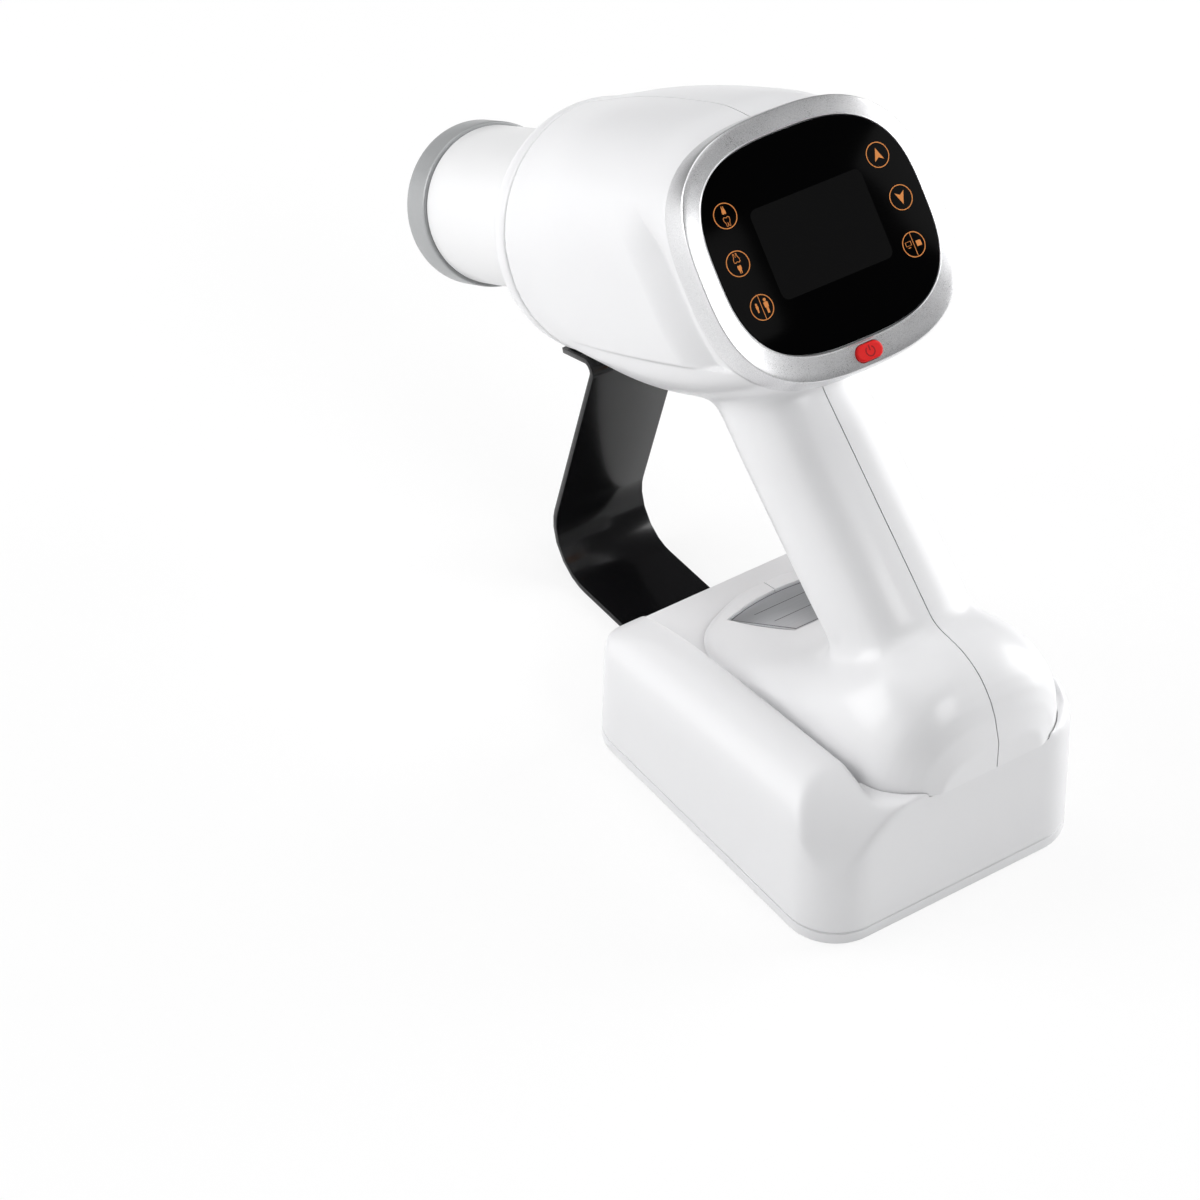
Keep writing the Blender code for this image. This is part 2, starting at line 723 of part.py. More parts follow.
def make_housing():
    """Both halves of the shell that is head, grip and foot in one."""
    shell = head_loft("shell", 0, 0)
    for solid in (grip_loft("grip", 0), foot_loft("foot", 0)):
        boolean(shell, solid, "UNION")
    boolean(shell, under_deck("below", GAP))
    boolean(shell, valleys("valley", 0))
    boolean(shell, strap_notch("notch", 0))

    half = TRIGGER_WIDTH / 2 + GAP
    slot = box("slot", (-half, -2 * TRIGGER_HUB, -TRIGGER_LENGTH - TRIGGER_CLEAR),
               (half, TRIGGER_INSET + OVERRUN, TRIGGER_HUB + GAP), TRIGGER)
    boolean(shell, slot)
    for x, y in foot_screw_spots():
        z = deck_height(y)
        boolean(shell, rod("hole", SCREW_RADIUS + GAP, (x, y, z - OVERRUN), (x, y, z + 3 * WALL)))
    hx, hy = harness_deck_spot()
    boolean(shell, rod("pass", HARNESS_RADIUS * 1.8, (hx, hy, deck_height(hy) - OVERRUN),
                       (hx, hy, deck_height(hy) + 3 * WALL)))
    boolean(shell, rating_outline("rating_pocket", RATING_THICK + 2 * WALL, GAP))

    hollow = head_loft("hollow", WALL, OVERRUN)
    grip_hollow = grip_loft("grip_hollow", WALL)
    foot_hollow = foot_loft("foot_hollow", WALL)
    boolean(foot_hollow, under_deck("floor", GAP + WALL))
    for solid in (grip_hollow, foot_hollow):
        boolean(hollow, solid, "UNION")
    wide_notch = strap_notch("wide_notch", WALL)
    boolean(hollow, wide_notch)
    boolean(hollow, valleys("wide_valley", WALL))
    boolean(shell, hollow)

    reach = 2 * TIP_FORWARD
    right = duplicate(shell, "right")
    boolean(shell, box("side", (-GAP / 2, -reach, -reach), (reach, reach, reach)))
    boolean(right, box("side", (-reach, -reach, -reach), (GAP / 2, reach, reach)))
    port = jack_places()
    boolean(right, rod("port", JACK_RADIUS + GAP, (JACK_SEAT - WALL, 0, 0), (JACK_FACE + WALL, 0, 0), port))
    part(shell, "housing_left", WHITE)
    part(right, "housing_right", WHITE)


def rating_outline(name, thick, grow):
    """Fan-shaped plate that lies on the foot's sloping front, or the pocket for it."""
    front_top = Vector((0, RATING_FRONT, deck_height(RATING_FRONT) + FOOT_FRONT_RISE))
    run = RATING_FRONT - RATING_REAR
    heel_rise = FOOT_HEEL_HEIGHT - deck_height(-BASE_REAR * 0.48)
    rear_top = Vector((0, RATING_REAR, deck_height(RATING_REAR) + 0.21 * heel_rise))
    slope = math.atan2(rear_top.z - front_top.z, run)
    frame = Matrix.Translation(front_top) @ Matrix.Rotation(-slope, 4, "X")
    half = RATING_WIDTH / 2 + grow
    back = RATING_BACK_WIDTH / 2 + grow
    arc = []
    steps = 8
    for i in range(steps + 1):
        x = half * (1 - 2 * i / steps)
        arc.append((x, RATING_ARC_RISE * (1 - (x / half) ** 2) - RATING_ARC_RISE + grow))
    outline = arc + [(-back, -run - grow), (back, -run - grow)]
    return slab(name, outline, -RATING_SEAT - grow, thick - RATING_SEAT, frame)


def make_rating_plate():
    part(rating_outline("rating", RATING_THICK, 0), "rating_plate", PLATE)


def make_collar():
    """Turned nose cap with a spigot into the head, bored for the cone."""
    rear = CONE_REACH - GAP
    front = CONE_REACH - COLLAR_LENGTH
    outer = [(HEAD_RADIUS, rear), (HEAD_RADIUS, front + COLLAR_ROUNDING)]
    steps = 5
    for i in range(1, steps + 1):
        angle = math.pi / 2 * i / steps
        outer.append((HEAD_RADIUS - COLLAR_ROUNDING * (1 - math.cos(angle)),
                      front + COLLAR_ROUNDING * (1 - math.sin(angle))))
    spigot = HEAD_RADIUS - WALL - 2 * GAP
    profile = outer + [
        (CONE_RADIUS * 0.7, front),
        (CONE_RADIUS * 0.7, CONE_REACH + COLLAR_SPIGOT),
        (spigot, CONE_REACH + COLLAR_SPIGOT),
        (spigot, rear),
    ]
    shifted = BEAM @ Matrix.Translation((0, -HEAD_DROP, 0))
    collar = turned("collar", profile, shifted)
    bore = turned("bore", [
        (FLANGE_RADIUS + GAP, CONE_REACH + COLLAR_SPIGOT + OVERRUN),
        (FLANGE_RADIUS + GAP, flange_front() - GAP),
        (FLANGE_RADIUS - FLANGE_THICK, flange_front() - GAP),
        (FLANGE_RADIUS - FLANGE_THICK, front + WALL * 1.3),
        (CONE_RADIUS + GAP, front + WALL * 1.3),
        (CONE_RADIUS + GAP, front - OVERRUN),
        (CONE_RADIUS * 0.5, front - OVERRUN),
        (CONE_RADIUS * 0.5, CONE_REACH + COLLAR_SPIGOT + OVERRUN),
    ], BEAM)
    boolean(collar, bore)
    boolean(collar, strap_notch("notch", GAP))
    boolean(collar, box("ceiling", *spigot_relief(), BEAM))
    for x in strap_end_spots():
        low = flange_point(STRAP_SCREW_REACH, 0)
        high = flange_point(STRAP_SCREW_REACH, STRAP_SCREW_DEPTH + GAP)
        boolean(collar, rod("bore", SCREW_RADIUS + GAP / 2, (x, low.y, low.z), (x, high.y, high.z), sides=12))
    part(collar, "nose_collar", WHITE)


def spigot_relief():
    """Box under the head's strap pocket, where the collar's spigot would meet its ceiling."""
    return ((STRAP_CENTRE - STRAP_WIDTH, -HEAD_RADIUS * 2, CONE_REACH - GAP),
            (STRAP_CENTRE + STRAP_WIDTH * 1.3, -RELIEF_DROP, CONE_REACH + 8 * WALL))


def flange_front():
    return CONE_REACH + COLLAR_SPIGOT - FLANGE_THICK


def make_cone():
    rear = CONE_REACH + COLLAR_SPIGOT - GAP / 2
    inner = CONE_RADIUS - CONE_WALL
    spigot = CONE_RADIUS - CONE_WALL / 2
    tube = turned("tube", [
        (FLANGE_RADIUS, rear), (FLANGE_RADIUS, flange_front()), (CONE_RADIUS, flange_front()),
        (CONE_RADIUS, RING_LENGTH + GAP), (spigot, RING_LENGTH + GAP),
        (spigot, RING_LENGTH - RING_SPIGOT), (inner, RING_LENGTH - RING_SPIGOT), (inner, rear),
    ], BEAM)
    part(tube, "cone_tube", WHITE)

    edge = (RING_RADIUS - CONE_RADIUS)
    ring = turned("ring", [
        (RING_RADIUS - edge / 2, RING_LENGTH), (RING_RADIUS, RING_LENGTH - edge / 2), (RING_RADIUS, edge),
        (RING_RADIUS - edge, 0), (inner, 0), (inner, RING_LENGTH - RING_SPIGOT - GAP),
        (spigot + GAP, RING_LENGTH - RING_SPIGOT - GAP), (spigot + GAP, RING_LENGTH),
    ], BEAM)
    part(ring, "cone_end_ring", GREY)

    outer = inner - GAP
    liner = turned("liner", [
        (outer, rear), (outer, rear - LINER_LENGTH), (outer - LINER_WALL, rear - LINER_LENGTH),
        (outer - LINER_WALL, rear),
    ], BEAM)
    part(liner, "cone_liner", LEAD)


def bulkhead_front():
    return CONE_REACH + COLLAR_SPIGOT + GAP


def tank_front():
    return bulkhead_front() + BULKHEAD_THICK + GAP


def make_generator():
    """Bulkhead, filter window, tank, standoffs, main board and buzzer along the beam axis."""
    front = bulkhead_front()
    radius = HEAD_RADIUS - WALL - 2 * GAP
    lowered = BEAM @ Matrix.Translation((0, -HEAD_DROP, 0))
    bulkhead = rod("bulkhead", radius, (0, 0, front), (0, 0, front + BULKHEAD_THICK), lowered, 48)
    boolean(bulkhead, rod("hole", WINDOW_RADIUS + GAP, (0, 0, 0), (0, 0, 2 * front), BEAM, 36))
    boolean(bulkhead, box("relief", *spigot_relief(), BEAM))
    part(bulkhead, "front_bulkhead", DARK)
    part(rod("window", WINDOW_RADIUS, (0, 0, front + GAP), (0, 0, front + BULKHEAD_THICK), BEAM, 36),
         "filter_window", ALUMINIUM)

    near = tank_front()
    far = near + TANK_LENGTH
    tank = box("tank", (-TANK_WIDTH / 2, -TANK_HEIGHT / 2, near), (TANK_WIDTH / 2, TANK_HEIGHT / 2, far),
               BEAM, TANK_EDGE)
    across = TANK_WIDTH / 2 - 2 * TANK_EDGE
    upward = TANK_HEIGHT / 2 - 2 * TANK_EDGE
    for x in (-across, across):
        for y in (-upward, upward):
            boolean(tank, rod("post", STANDOFF_RADIUS, (x, y, far - WALL), (x, y, far + STANDOFF_LENGTH),
                              BEAM, 8), "UNION")
    part(tank, "generator_tank", ALUMINIUM)
    board = far + GAP + STANDOFF_LENGTH
    part(box("board", (-MAIN_BOARD_WIDTH / 2, -MAIN_BOARD_HEIGHT / 2, board),
             (MAIN_BOARD_WIDTH / 2, MAIN_BOARD_HEIGHT / 2, board + BOARD_THICK), BEAM), "main_board", BOARD)
    lift = MAIN_BOARD_HEIGHT / 2 - BUZZER_RADIUS
    seat = board + BOARD_THICK + GAP
    part(rod("buzzer", BUZZER_RADIUS, (0, lift, seat), (0, lift, seat + BUZZER_HEIGHT), BEAM),
         "buzzer", DARK)


# Bezel section: share of the way from the panel's edge to the bezel's widest outline, and depth
# behind the panel's face as a share of the bezel's depth
BEZEL_SECTION_SHARES = (
    (0.04, 0.010), (0.05, -0.014), (0.10, -0.012), (0.13, 0.004), (0.64, 0.102), (0.79, 0.168),
    (0.89, 0.295), (0.955, 0.500), (0.993, 0.740), (1.00, 0.840), (0.985, 0.975), (0.962, 1.000),
    (0.80, 1.000), (0.79, 0.640), (0.66, 0.440), (0.35, 0.300), (-0.10, 0.290), (-0.10, 0.170),
    (0.04, 0.170),
)


def display_screw_spots():
    return [(x, y) for x in (-DISPLAY_SCREW_ACROSS, DISPLAY_SCREW_ACROSS)
            for y in (-DISPLAY_SCREW_UP, DISPLAY_SCREW_UP)]


def control_front():
    """Depth of the control board's front face behind the panel's face."""
    return PANEL_THICK + LCD_THICK + 2 * GAP


def make_display():
    rings = [display_ring(share, depth * BEZEL_DEPTH, 64) for share, depth in BEZEL_SECTION_SHARES]
    bezel = loft("bezel", rings, closed=True)
    boss_end = -control_front() + GAP
    for x, y in display_screw_spots():
        boolean(bezel, rod("boss", DISPLAY_BOSS_RADIUS, (x, y, -BEZEL_LEDGE * 0.8), (x, y, boss_end), DISPLAY, 16),
                "UNION")
        boolean(bezel, rod("bore", SCREW_RADIUS * 0.8 + GAP / 2, (x, y, -BEZEL_LEDGE * 0.95),
                           (x, y, boss_end - OVERRUN), DISPLAY, 12))
    slot = slab("slot", stadium(BUTTON_WIDTH + 2 * GAP, BUTTON_HEIGHT + 2 * GAP), -2 * BEZEL_LEDGE,
                2 * BEZEL_LEDGE, DISPLAY @ Matrix.Translation((0, -BUTTON_DROP, 0)))
    boolean(bezel, slot)
    seat = slab("seat", stadium(BUTTON_WIDTH + 2 * BUTTON_FLANGE + 2 * GAP,
                                BUTTON_HEIGHT + 2 * BUTTON_FLANGE + 2 * GAP),
                -2 * BEZEL_LEDGE, -button_flange_top() + GAP,
                DISPLAY @ Matrix.Translation((0, -BUTTON_DROP, 0)))
    boolean(bezel, seat)
    part(bezel, "display_bezel", SILVER)

    flat = superellipse(PANEL_HALF_WIDTH, PANEL_HALF_HEIGHT, PANEL_POWER, 64)
    part(slab("panel", flat, -PANEL_THICK, 0, DISPLAY), "display_panel", BLACK)
    back = -PANEL_THICK - GAP
    part(box("lcd", (-LCD_WIDTH / 2, -LCD_HEIGHT / 2, back - LCD_THICK), (LCD_WIDTH / 2, LCD_HEIGHT / 2, back),
             DISPLAY), "lcd_module", DARK)
    face = -control_front()
    board = slab("control", superellipse(CONTROL_HALF_WIDTH, CONTROL_HALF_HEIGHT, BEZEL_POWER, 48),
                 face - BOARD_THICK, face, DISPLAY)
    screws = []
    for x, y in display_screw_spots():
        boolean(board, rod("hole", SCREW_RADIUS * 0.8 + GAP, (x, y, face - OVERRUN), (x, y, face + OVERRUN),
                           DISPLAY, 12))
        head = DISPLAY @ Vector((x, y, face - BOARD_THICK - GAP))
        tip = DISPLAY @ Vector((x, y, -BEZEL_LEDGE - GAP))
        screws.append(screw_down("screw", head, tip, SCREW_RADIUS * 0.8, SCREW_HEAD * 0.8))
    part(board, "control_board", BOARD)
    row(screws, "display_screw", STEEL)
    low = -BUTTON_DROP - SWITCH_DEPTH / 2
    power = box("power", (-SWITCH_WIDTH / 2, low + SWITCH_DEPTH / 4, face + GAP),
                (SWITCH_WIDTH / 2, low + SWITCH_DEPTH * 1.25, face + GAP + SWITCH_HEIGHT), DISPLAY)
    part(power, "power_switch", DARK)


def button_flange_top():
    """Depth of the button's flange behind the panel's face."""
    return control_front() - SWITCH_HEIGHT - 2 * GAP - BUTTON_TRAVEL - BUTTON_FLANGE_THICK


def make_power_button():
    frame = DISPLAY @ Matrix.Translation((0, -BUTTON_DROP, 0))
    top = -button_flange_top()
    button = slab("button", stadium(BUTTON_WIDTH, BUTTON_HEIGHT), top - BUTTON_FLANGE_THICK / 2, BUTTON_PROUD,
                  frame)
    flange = slab("flange", stadium(BUTTON_WIDTH + 2 * BUTTON_FLANGE, BUTTON_HEIGHT + 2 * BUTTON_FLANGE),
                  top - BUTTON_FLANGE_THICK, top, frame)
    boolean(button, flange, "UNION")
    obj = part(button, "power_button", RED)
    hold_at(obj, frame.translation)


def hold_at(obj, point):
    """Puts an object's origin on its joint without moving its mesh."""
    obj.data.transform(Matrix.Translation(-point))
    obj.matrix_world = Matrix.Translation(point)


# Trigger outline from its pin: (to the front, upwards) as shares of the trigger's length
TRIGGER_OUTLINE_SHARES = (
    (0.350, 0.090), (0.378, -0.220), (0.405, -0.500), (0.520, -0.770), (0.660, -0.940),
    (0.560, -1.000), (0.110, -1.000), (0.040, -0.740), (-0.040, -0.370),
)


def make_trigger():
    outline = [(y * TRIGGER_LENGTH, z * TRIGGER_LENGTH) for y, z in TRIGGER_OUTLINE_SHARES]
    for angle in (195, 165, 135, 105, 75, 50):
        turn = math.radians(angle)
        outline.append((TRIGGER_HUB * math.cos(turn), TRIGGER_HUB * math.sin(turn)))
    half = TRIGGER_WIDTH / 2
    trigger = side_slab("trigger", outline, -half, half, TRIGGER)
    boolean(trigger, rod("bore", TRIGGER_PIN_RADIUS + GAP, (-2 * half, 0, 0), (2 * half, 0, 0), TRIGGER, 20))
    obj = part(trigger, "trigger", ORANGE)
    hold_at(obj, TRIGGER.translation)

    left = -half - GAP - BRACKET_PLATE
    inner_right = half + 2 * GAP + SPRING_LENGTH
    right = inner_right + BRACKET_PLATE
    low = -TRIGGER_LENGTH * 0.9
    high = TRIGGER_HUB * 1.4
    front = bracket_front()
    bracket = box("bracket", (left, front - BRACKET_DEPTH, low), (right, front, high), TRIGGER)
    boolean(bracket, box("room", (left + BRACKET_PLATE, front - BRACKET_DEPTH + BRACKET_PLATE, low - OVERRUN),
                         (inner_right, front + OVERRUN, high + OVERRUN), TRIGGER))
    boolean(bracket, rod("hole", TRIGGER_PIN_RADIUS + GAP / 2, (2 * left, 0, 0), (2 * right, 0, 0), TRIGGER, 20))
    part(bracket, "trigger_bracket", STEEL)
    part(rod("pin", TRIGGER_PIN_RADIUS, (left, 0, 0), (right, 0, 0), TRIGGER, 20), "trigger_pin", STEEL)

    sleeve = rod("sleeve", SPRING_RADIUS, (half + GAP, 0, 0), (inner_right - GAP, 0, 0), TRIGGER)
    boolean(sleeve, rod("bore", TRIGGER_PIN_RADIUS + GAP, (0, 0, 0), (2 * right, 0, 0), TRIGGER, 20))
    part(sleeve, "trigger_spring", STEEL)
    back = front - BRACKET_DEPTH + BRACKET_PLATE + GAP
    base = low + WALL
    part(box("switch", (-TRIGGER_SWITCH_WIDTH / 2, back, base),
             (TRIGGER_SWITCH_WIDTH / 2, back + TRIGGER_SWITCH_DEPTH, base + TRIGGER_SWITCH_HEIGHT), TRIGGER),
         "trigger_switch", DARK)


def bracket_front():
    """How far the bracket reaches ahead of the pin, up against the grip's front wall."""
    return TRIGGER_INSET - WALL - 9 * GAP


def deck_frame(lift=0):
    """Frame on the deck at the base's front, with local Y along the deck's slope."""
    origin = Matrix.Translation((0, BASE_FRONT, DECK_FRONT_HEIGHT + lift))
    return origin @ Matrix.Rotation(-DECK_SLOPE, 4, "X")


# Share of the way from rear to front, and the rims' height there as a share of the left one's
RIM_ARCH_SHARES = (
    (0.000, -0.55), (0.010, -0.10), (0.025, 0.24), (0.045, 0.52), (0.075, 0.76), (0.115, 0.92),
    (0.165, 0.99), (0.300, 1.00), (0.498, 1.00), (0.748, 0.92), (0.880, 0.72), (0.960, 0.45),
    (0.988, 0.20), (1.000, -0.10),
)


def rim_section(name, inset):
    """Everything below the tops of the two rims, shrunk by an inset."""
    deep = DECK_REAR_HEIGHT * 1.5
    left = CHANNEL_LEFT + GAP + inset
    right = min(CHANNEL_RIGHT + GAP + inset, BASE_RIGHT - inset - 4 * GAP)
    outline = rim_arc(-1, BASE_LEFT - inset, RIM_ROUNDING_LEFT - inset, left, RIM_HEIGHT - inset)
    outline += [(-BASE_LEFT * 1.2, -deep), (BASE_RIGHT * 1.2, -deep)]
    outline += reversed(rim_arc(1, BASE_RIGHT - inset, RIM_ROUNDING_RIGHT, right, RIM_HEIGHT_RIGHT - inset))
    turn = Matrix.Rotation(math.pi / 2, 4, "X")
    return slab(name, outline, -DECK_LENGTH, 2 * DECK_LENGTH, deck_frame() @ turn)


def channel(name, steps=6):
    """Room above the deck for the foot; it opens out round the rear end of the left rim."""
    far = 2 * DECK_LENGTH
    left = -CHANNEL_LEFT - GAP
    right = CHANNEL_RIGHT + GAP
    run = BASE_REAR - CHANNEL_FLARE_START
    outline = [(right, far), (left, far)]
    for i in range(steps + 1):
        angle = math.pi / 2 * i / steps
        outline.append((left - CHANNEL_FLARE * (1 - math.cos(angle)),
                        -BASE_FRONT - CHANNEL_FLARE_START - run * math.sin(angle)))
    outline += [(left - CHANNEL_FLARE, -far), (right, -far)]
    return slab(name, outline, 0, DECK_LENGTH, deck_frame())


def tub_outer():
    """The base's upper shell as a solid: plan outline, sloping deck and two arched rims."""
    tall = DECK_REAR_HEIGHT + 3 * RIM_HEIGHT
    low = PLATE_THICK + GAP
    tub = loft("tub", [rounded_plan(0, low), rounded_plan(0, tall)])
    boolean(tub, rim_section("rims", 0), "INTERSECT")
    side = []
    for along, rise in RIM_ARCH_SHARES:
        y = -BASE_REAR + along * DECK_LENGTH
        side.append((y, deck_height(y) + rise * RIM_HEIGHT))
    side += [(BASE_FRONT + OVERRUN, side[-1][1]), (BASE_FRONT + OVERRUN, -OVERRUN),
             (-BASE_REAR - OVERRUN, -OVERRUN), (-BASE_REAR - OVERRUN, side[0][1])]
    ends = side_slab("ends", side, -2 * BASE_LEFT, 2 * BASE_LEFT)
    boolean(tub, ends, "INTERSECT")
    boolean(tub, channel("channel"))
    return tub


def rim_arc(side, wall, rounding, channel, height):
    """Rounded top of a rim, from its crest out to its wall."""
    points = []
    steps = 6
    edge = wall - 2 * GAP
    reach = min(rounding, edge - channel - GAP)
    for i in range(steps + 1):
        angle = math.pi / 2 * i / steps
        points.append((side * (edge - reach * (1 - math.sin(angle))),
                       height - rounding * (1 - math.cos(angle))))
    return points


def base_screw_spots():
    xs = (-BASE_LEFT + BASE_SCREW_INSET, BASE_RIGHT - BASE_SCREW_INSET)
    ys = (-BASE_REAR + BASE_SCREW_INSET, BASE_FRONT - BASE_SCREW_INSET)
    return [(x, y) for x in xs for y in ys]


def pad_spots():
    xs = (-BASE_LEFT + PAD_INSET, BASE_RIGHT - PAD_INSET)
    ys = (-BASE_REAR + BASE_SCREW_INSET, BASE_FRONT - BASE_SCREW_INSET)
    return [(xs[0], ys[0]), (xs[1], ys[0]), (xs[0] - PAD_INSET / 3, 0), (xs[1] + PAD_INSET / 3, 0)]


def make_base():
    tub = tub_outer()
    low = PLATE_THICK + GAP
    room = loft("room", [rounded_plan(TUB_WALL, low - OVERRUN), rounded_plan(TUB_WALL, DECK_REAR_HEIGHT)])
    boolean(room, rim_section("lowered", TUB_WALL), "INTERSECT")
    reach = 2 * DECK_LENGTH
    boolean(room, box("lid", (-reach, -reach, 0), (reach, reach, reach), deck_frame(-DECK_THICK)))
    boolean(tub, room)
    for x, y in base_screw_spots():
        boolean(tub, rod("boss", BOSS_RADIUS, (x, y, low), (x, y, deck_height(y) - DECK_THICK / 2), sides=16),
                "UNION")
        boolean(tub, rod("bore", SCREW_RADIUS + GAP / 2, (x, y, 0), (x, y, low + BASE_SCREW_LENGTH + OVERRUN),
                         sides=12))
    for x, y in foot_screw_spots():
        boolean(tub, rod("hole", SCREW_RADIUS + GAP, (x, y, deck_height(y) - 3 * DECK_THICK),
                         (x, y, deck_height(y) + DECK_THICK), sides=12))
    hx, hy = harness_deck_spot()
    boolean(tub, rod("pass", HARNESS_RADIUS * 1.8, (hx, hy, deck_height(hy) - 3 * DECK_THICK),
                     (hx, hy, deck_height(hy) + DECK_THICK), sides=16))
    part(tub, "base_tub", WHITE)

    plate = loft("plate", [rounded_plan(PLATE_INSET, 0), rounded_plan(PLATE_INSET, PLATE_THICK)])
    half = STRAP_WIDTH / 2 + 2 * GAP
    front = BASE_FRONT + OVERRUN
    lap = BASE_FRONT - STRAP_LAP
    boolean(plate, box("lap", (STRAP_CENTRE - half, lap - GAP, -OVERRUN),
                       (STRAP_CENTRE + half, front, STRAP_CLEAR + STRAP_THICK + GAP)))
    for x, y in base_screw_spots():
        boolean(plate, rod("hole", SCREW_RADIUS + GAP, (x, y, -OVERRUN), (x, y, PLATE_THICK + OVERRUN), sides=12))
        boolean(plate, rod("sink", SCREW_HEAD + 2 * GAP, (x, y, -OVERRUN),
                           (x, y, SCREW_HEAD_THICK + 2 * GAP), sides=16))
    for x, y in pad_spots():
        boolean(plate, rod("pocket", PAD_RADIUS + GAP, (x, y, -OVERRUN), (x, y, PAD_THICK + GAP)))
    for x in strap_end_spots():
        boolean(plate, rod("hole", SCREW_RADIUS + GAP, (x, strap_end_y(), 0), (x, strap_end_y(), 2 * PLATE_THICK),
                           sides=12))
    part(plate, "base_plate", WHITE)
    pads = [rod("pad", PAD_RADIUS, (x, y, 0), (x, y, PAD_THICK)) for x, y in pad_spots()]
    row(pads, "rubber_foot", RUBBER)
    head = SCREW_HEAD_THICK + GAP
    screws = [screw_down("screw", (x, y, head), (x, y, low + BASE_SCREW_LENGTH)) for x, y in base_screw_spots()]
    row(screws, "base_screw", STEEL)
    screws = []
    for x, y in foot_screw_spots():
        under = deck_height(y) - DECK_THICK - FOOT_SCREW_SEAT
        screws.append(screw_down("screw", (x, y, under), (x, y, deck_height(y) + FOOT_SCREW_LENGTH)))
    row(screws, "foot_screw", STEEL)


def strap_end_y():
    return BASE_FRONT - STRAP_LAP / 2


def strap_end_spots():
    return [STRAP_CENTRE + side * STRAP_SCREW_SPACING / 2 for side in (-1, 1)]


def bent_path(corners, radii, steps=7):
    """Polyline through corners with each inner corner rounded to its radius."""
    path = [Vector(corners[0])]
    for before, corner, after, radius in zip(corners, corners[1:], corners[2:], radii):
        a = (Vector(before) - Vector(corner)).normalized()
        b = (Vector(after) - Vector(corner)).normalized()
        half = a.angle(b) / 2
        reach = radius / math.tan(half)
        centre = Vector(corner) + (a + b).normalized() * (radius / math.sin(half))
        start = Vector(corner) + a * reach - centre
        end = Vector(corner) + b * reach - centre
        for i in range(steps + 1):
            arm = start.lerp(end, i / steps).normalized()
            path.append(centre + arm * radius)
    path.append(Vector(corners[-1]))
    return path


def strap_corners():
    """Mid line of the strap as (y, z): flange, upper bend, toe and the end under the base."""
    low = STRAP_CLEAR + STRAP_THICK / 2
    tip = flange_point(STRAP_FLANGE, 0)
    bend = strap_top()
    return [(tip.y, tip.z), (bend.y, bend.z), (STRAP_TOE_FORWARD, low), (BASE_FRONT - STRAP_LAP, low)]


def offset_side(path, distance):
    """The path moved sideways by a distance."""
    moved = []
    for i, point in enumerate(path):
        before = path[max(i - 1, 0)]
        after = path[min(i + 1, len(path) - 1)]
        run = (after - before).normalized()
        moved.append((point.x - run.y * distance, point.y + run.x * distance))
    return moved


def make_strap():
    path = bent_path([Vector(corner) for corner in strap_corners()], (STRAP_TOP_BEND, STRAP_BEND))
    outline = offset_side(path, STRAP_THICK / 2) + list(reversed(offset_side(path, -STRAP_THICK / 2)))
    half = STRAP_WIDTH / 2
    strap = side_slab("strap", outline, STRAP_CENTRE - half, STRAP_CENTRE + half)
    screws = []
    for x in strap_end_spots():
        low = flange_point(STRAP_SCREW_REACH, -2 * STRAP_THICK)
        high = flange_point(STRAP_SCREW_REACH, 2 * STRAP_THICK)
        boolean(strap, rod("hole", SCREW_RADIUS + GAP / 2, (x, low.y, low.z), (x, high.y, high.z), sides=12))
        head = flange_point(STRAP_SCREW_REACH, -STRAP_THICK / 2 - GAP)
        tip = flange_point(STRAP_SCREW_REACH, STRAP_SCREW_DEPTH)
        screws.append(screw_down("screw", (x, head.y, head.z), (x, tip.y, tip.z)))
        boolean(strap, rod("hole", SCREW_RADIUS + GAP / 2, (x, strap_end_y(), -OVERRUN),
                           (x, strap_end_y(), PLATE_THICK), sides=12))
    part(strap, "support_strap", STRAP_BLACK)
    row(screws, "strap_screw", STEEL)
    ends = [screw_down("screw", (x, strap_end_y(), PLATE_THICK + GAP), (x, strap_end_y(), STRAP_CLEAR + GAP))
            for x in strap_end_spots()]
    row(ends, "strap_end_screw", STEEL)


def make_jack():
    """Round charging socket with a centre pin, in the right half of the head."""
    frame = jack_places()
    jack = rod("jack", JACK_RADIUS, (JACK_FACE - JACK_LENGTH, 0, 0), (JACK_FACE, 0, 0), frame)
    flange = rod("flange", JACK_FLANGE_RADIUS, (JACK_SEAT - 2 * WALL / 3, 0, 0), (JACK_SEAT - GAP, 0, 0), frame)
    boolean(jack, flange, "UNION")
    boolean(jack, rod("bore", JACK_BORE, (JACK_FACE - JACK_BORE_DEPTH, 0, 0), (JACK_FACE + OVERRUN, 0, 0), frame))
    boolean(jack, rod("pin", JACK_PIN, (JACK_FACE - JACK_BORE_DEPTH - GAP, 0, 0), (JACK_FACE - WALL / 2, 0, 0),
                      frame, 12), "UNION")
    part(jack, "charge_jack", DARK)


def tray_centre():
    """Middle of the battery tray on the bottom plate."""
    return (BASE_RIGHT - BASE_LEFT) / 2, -BASE_CORNER / 2


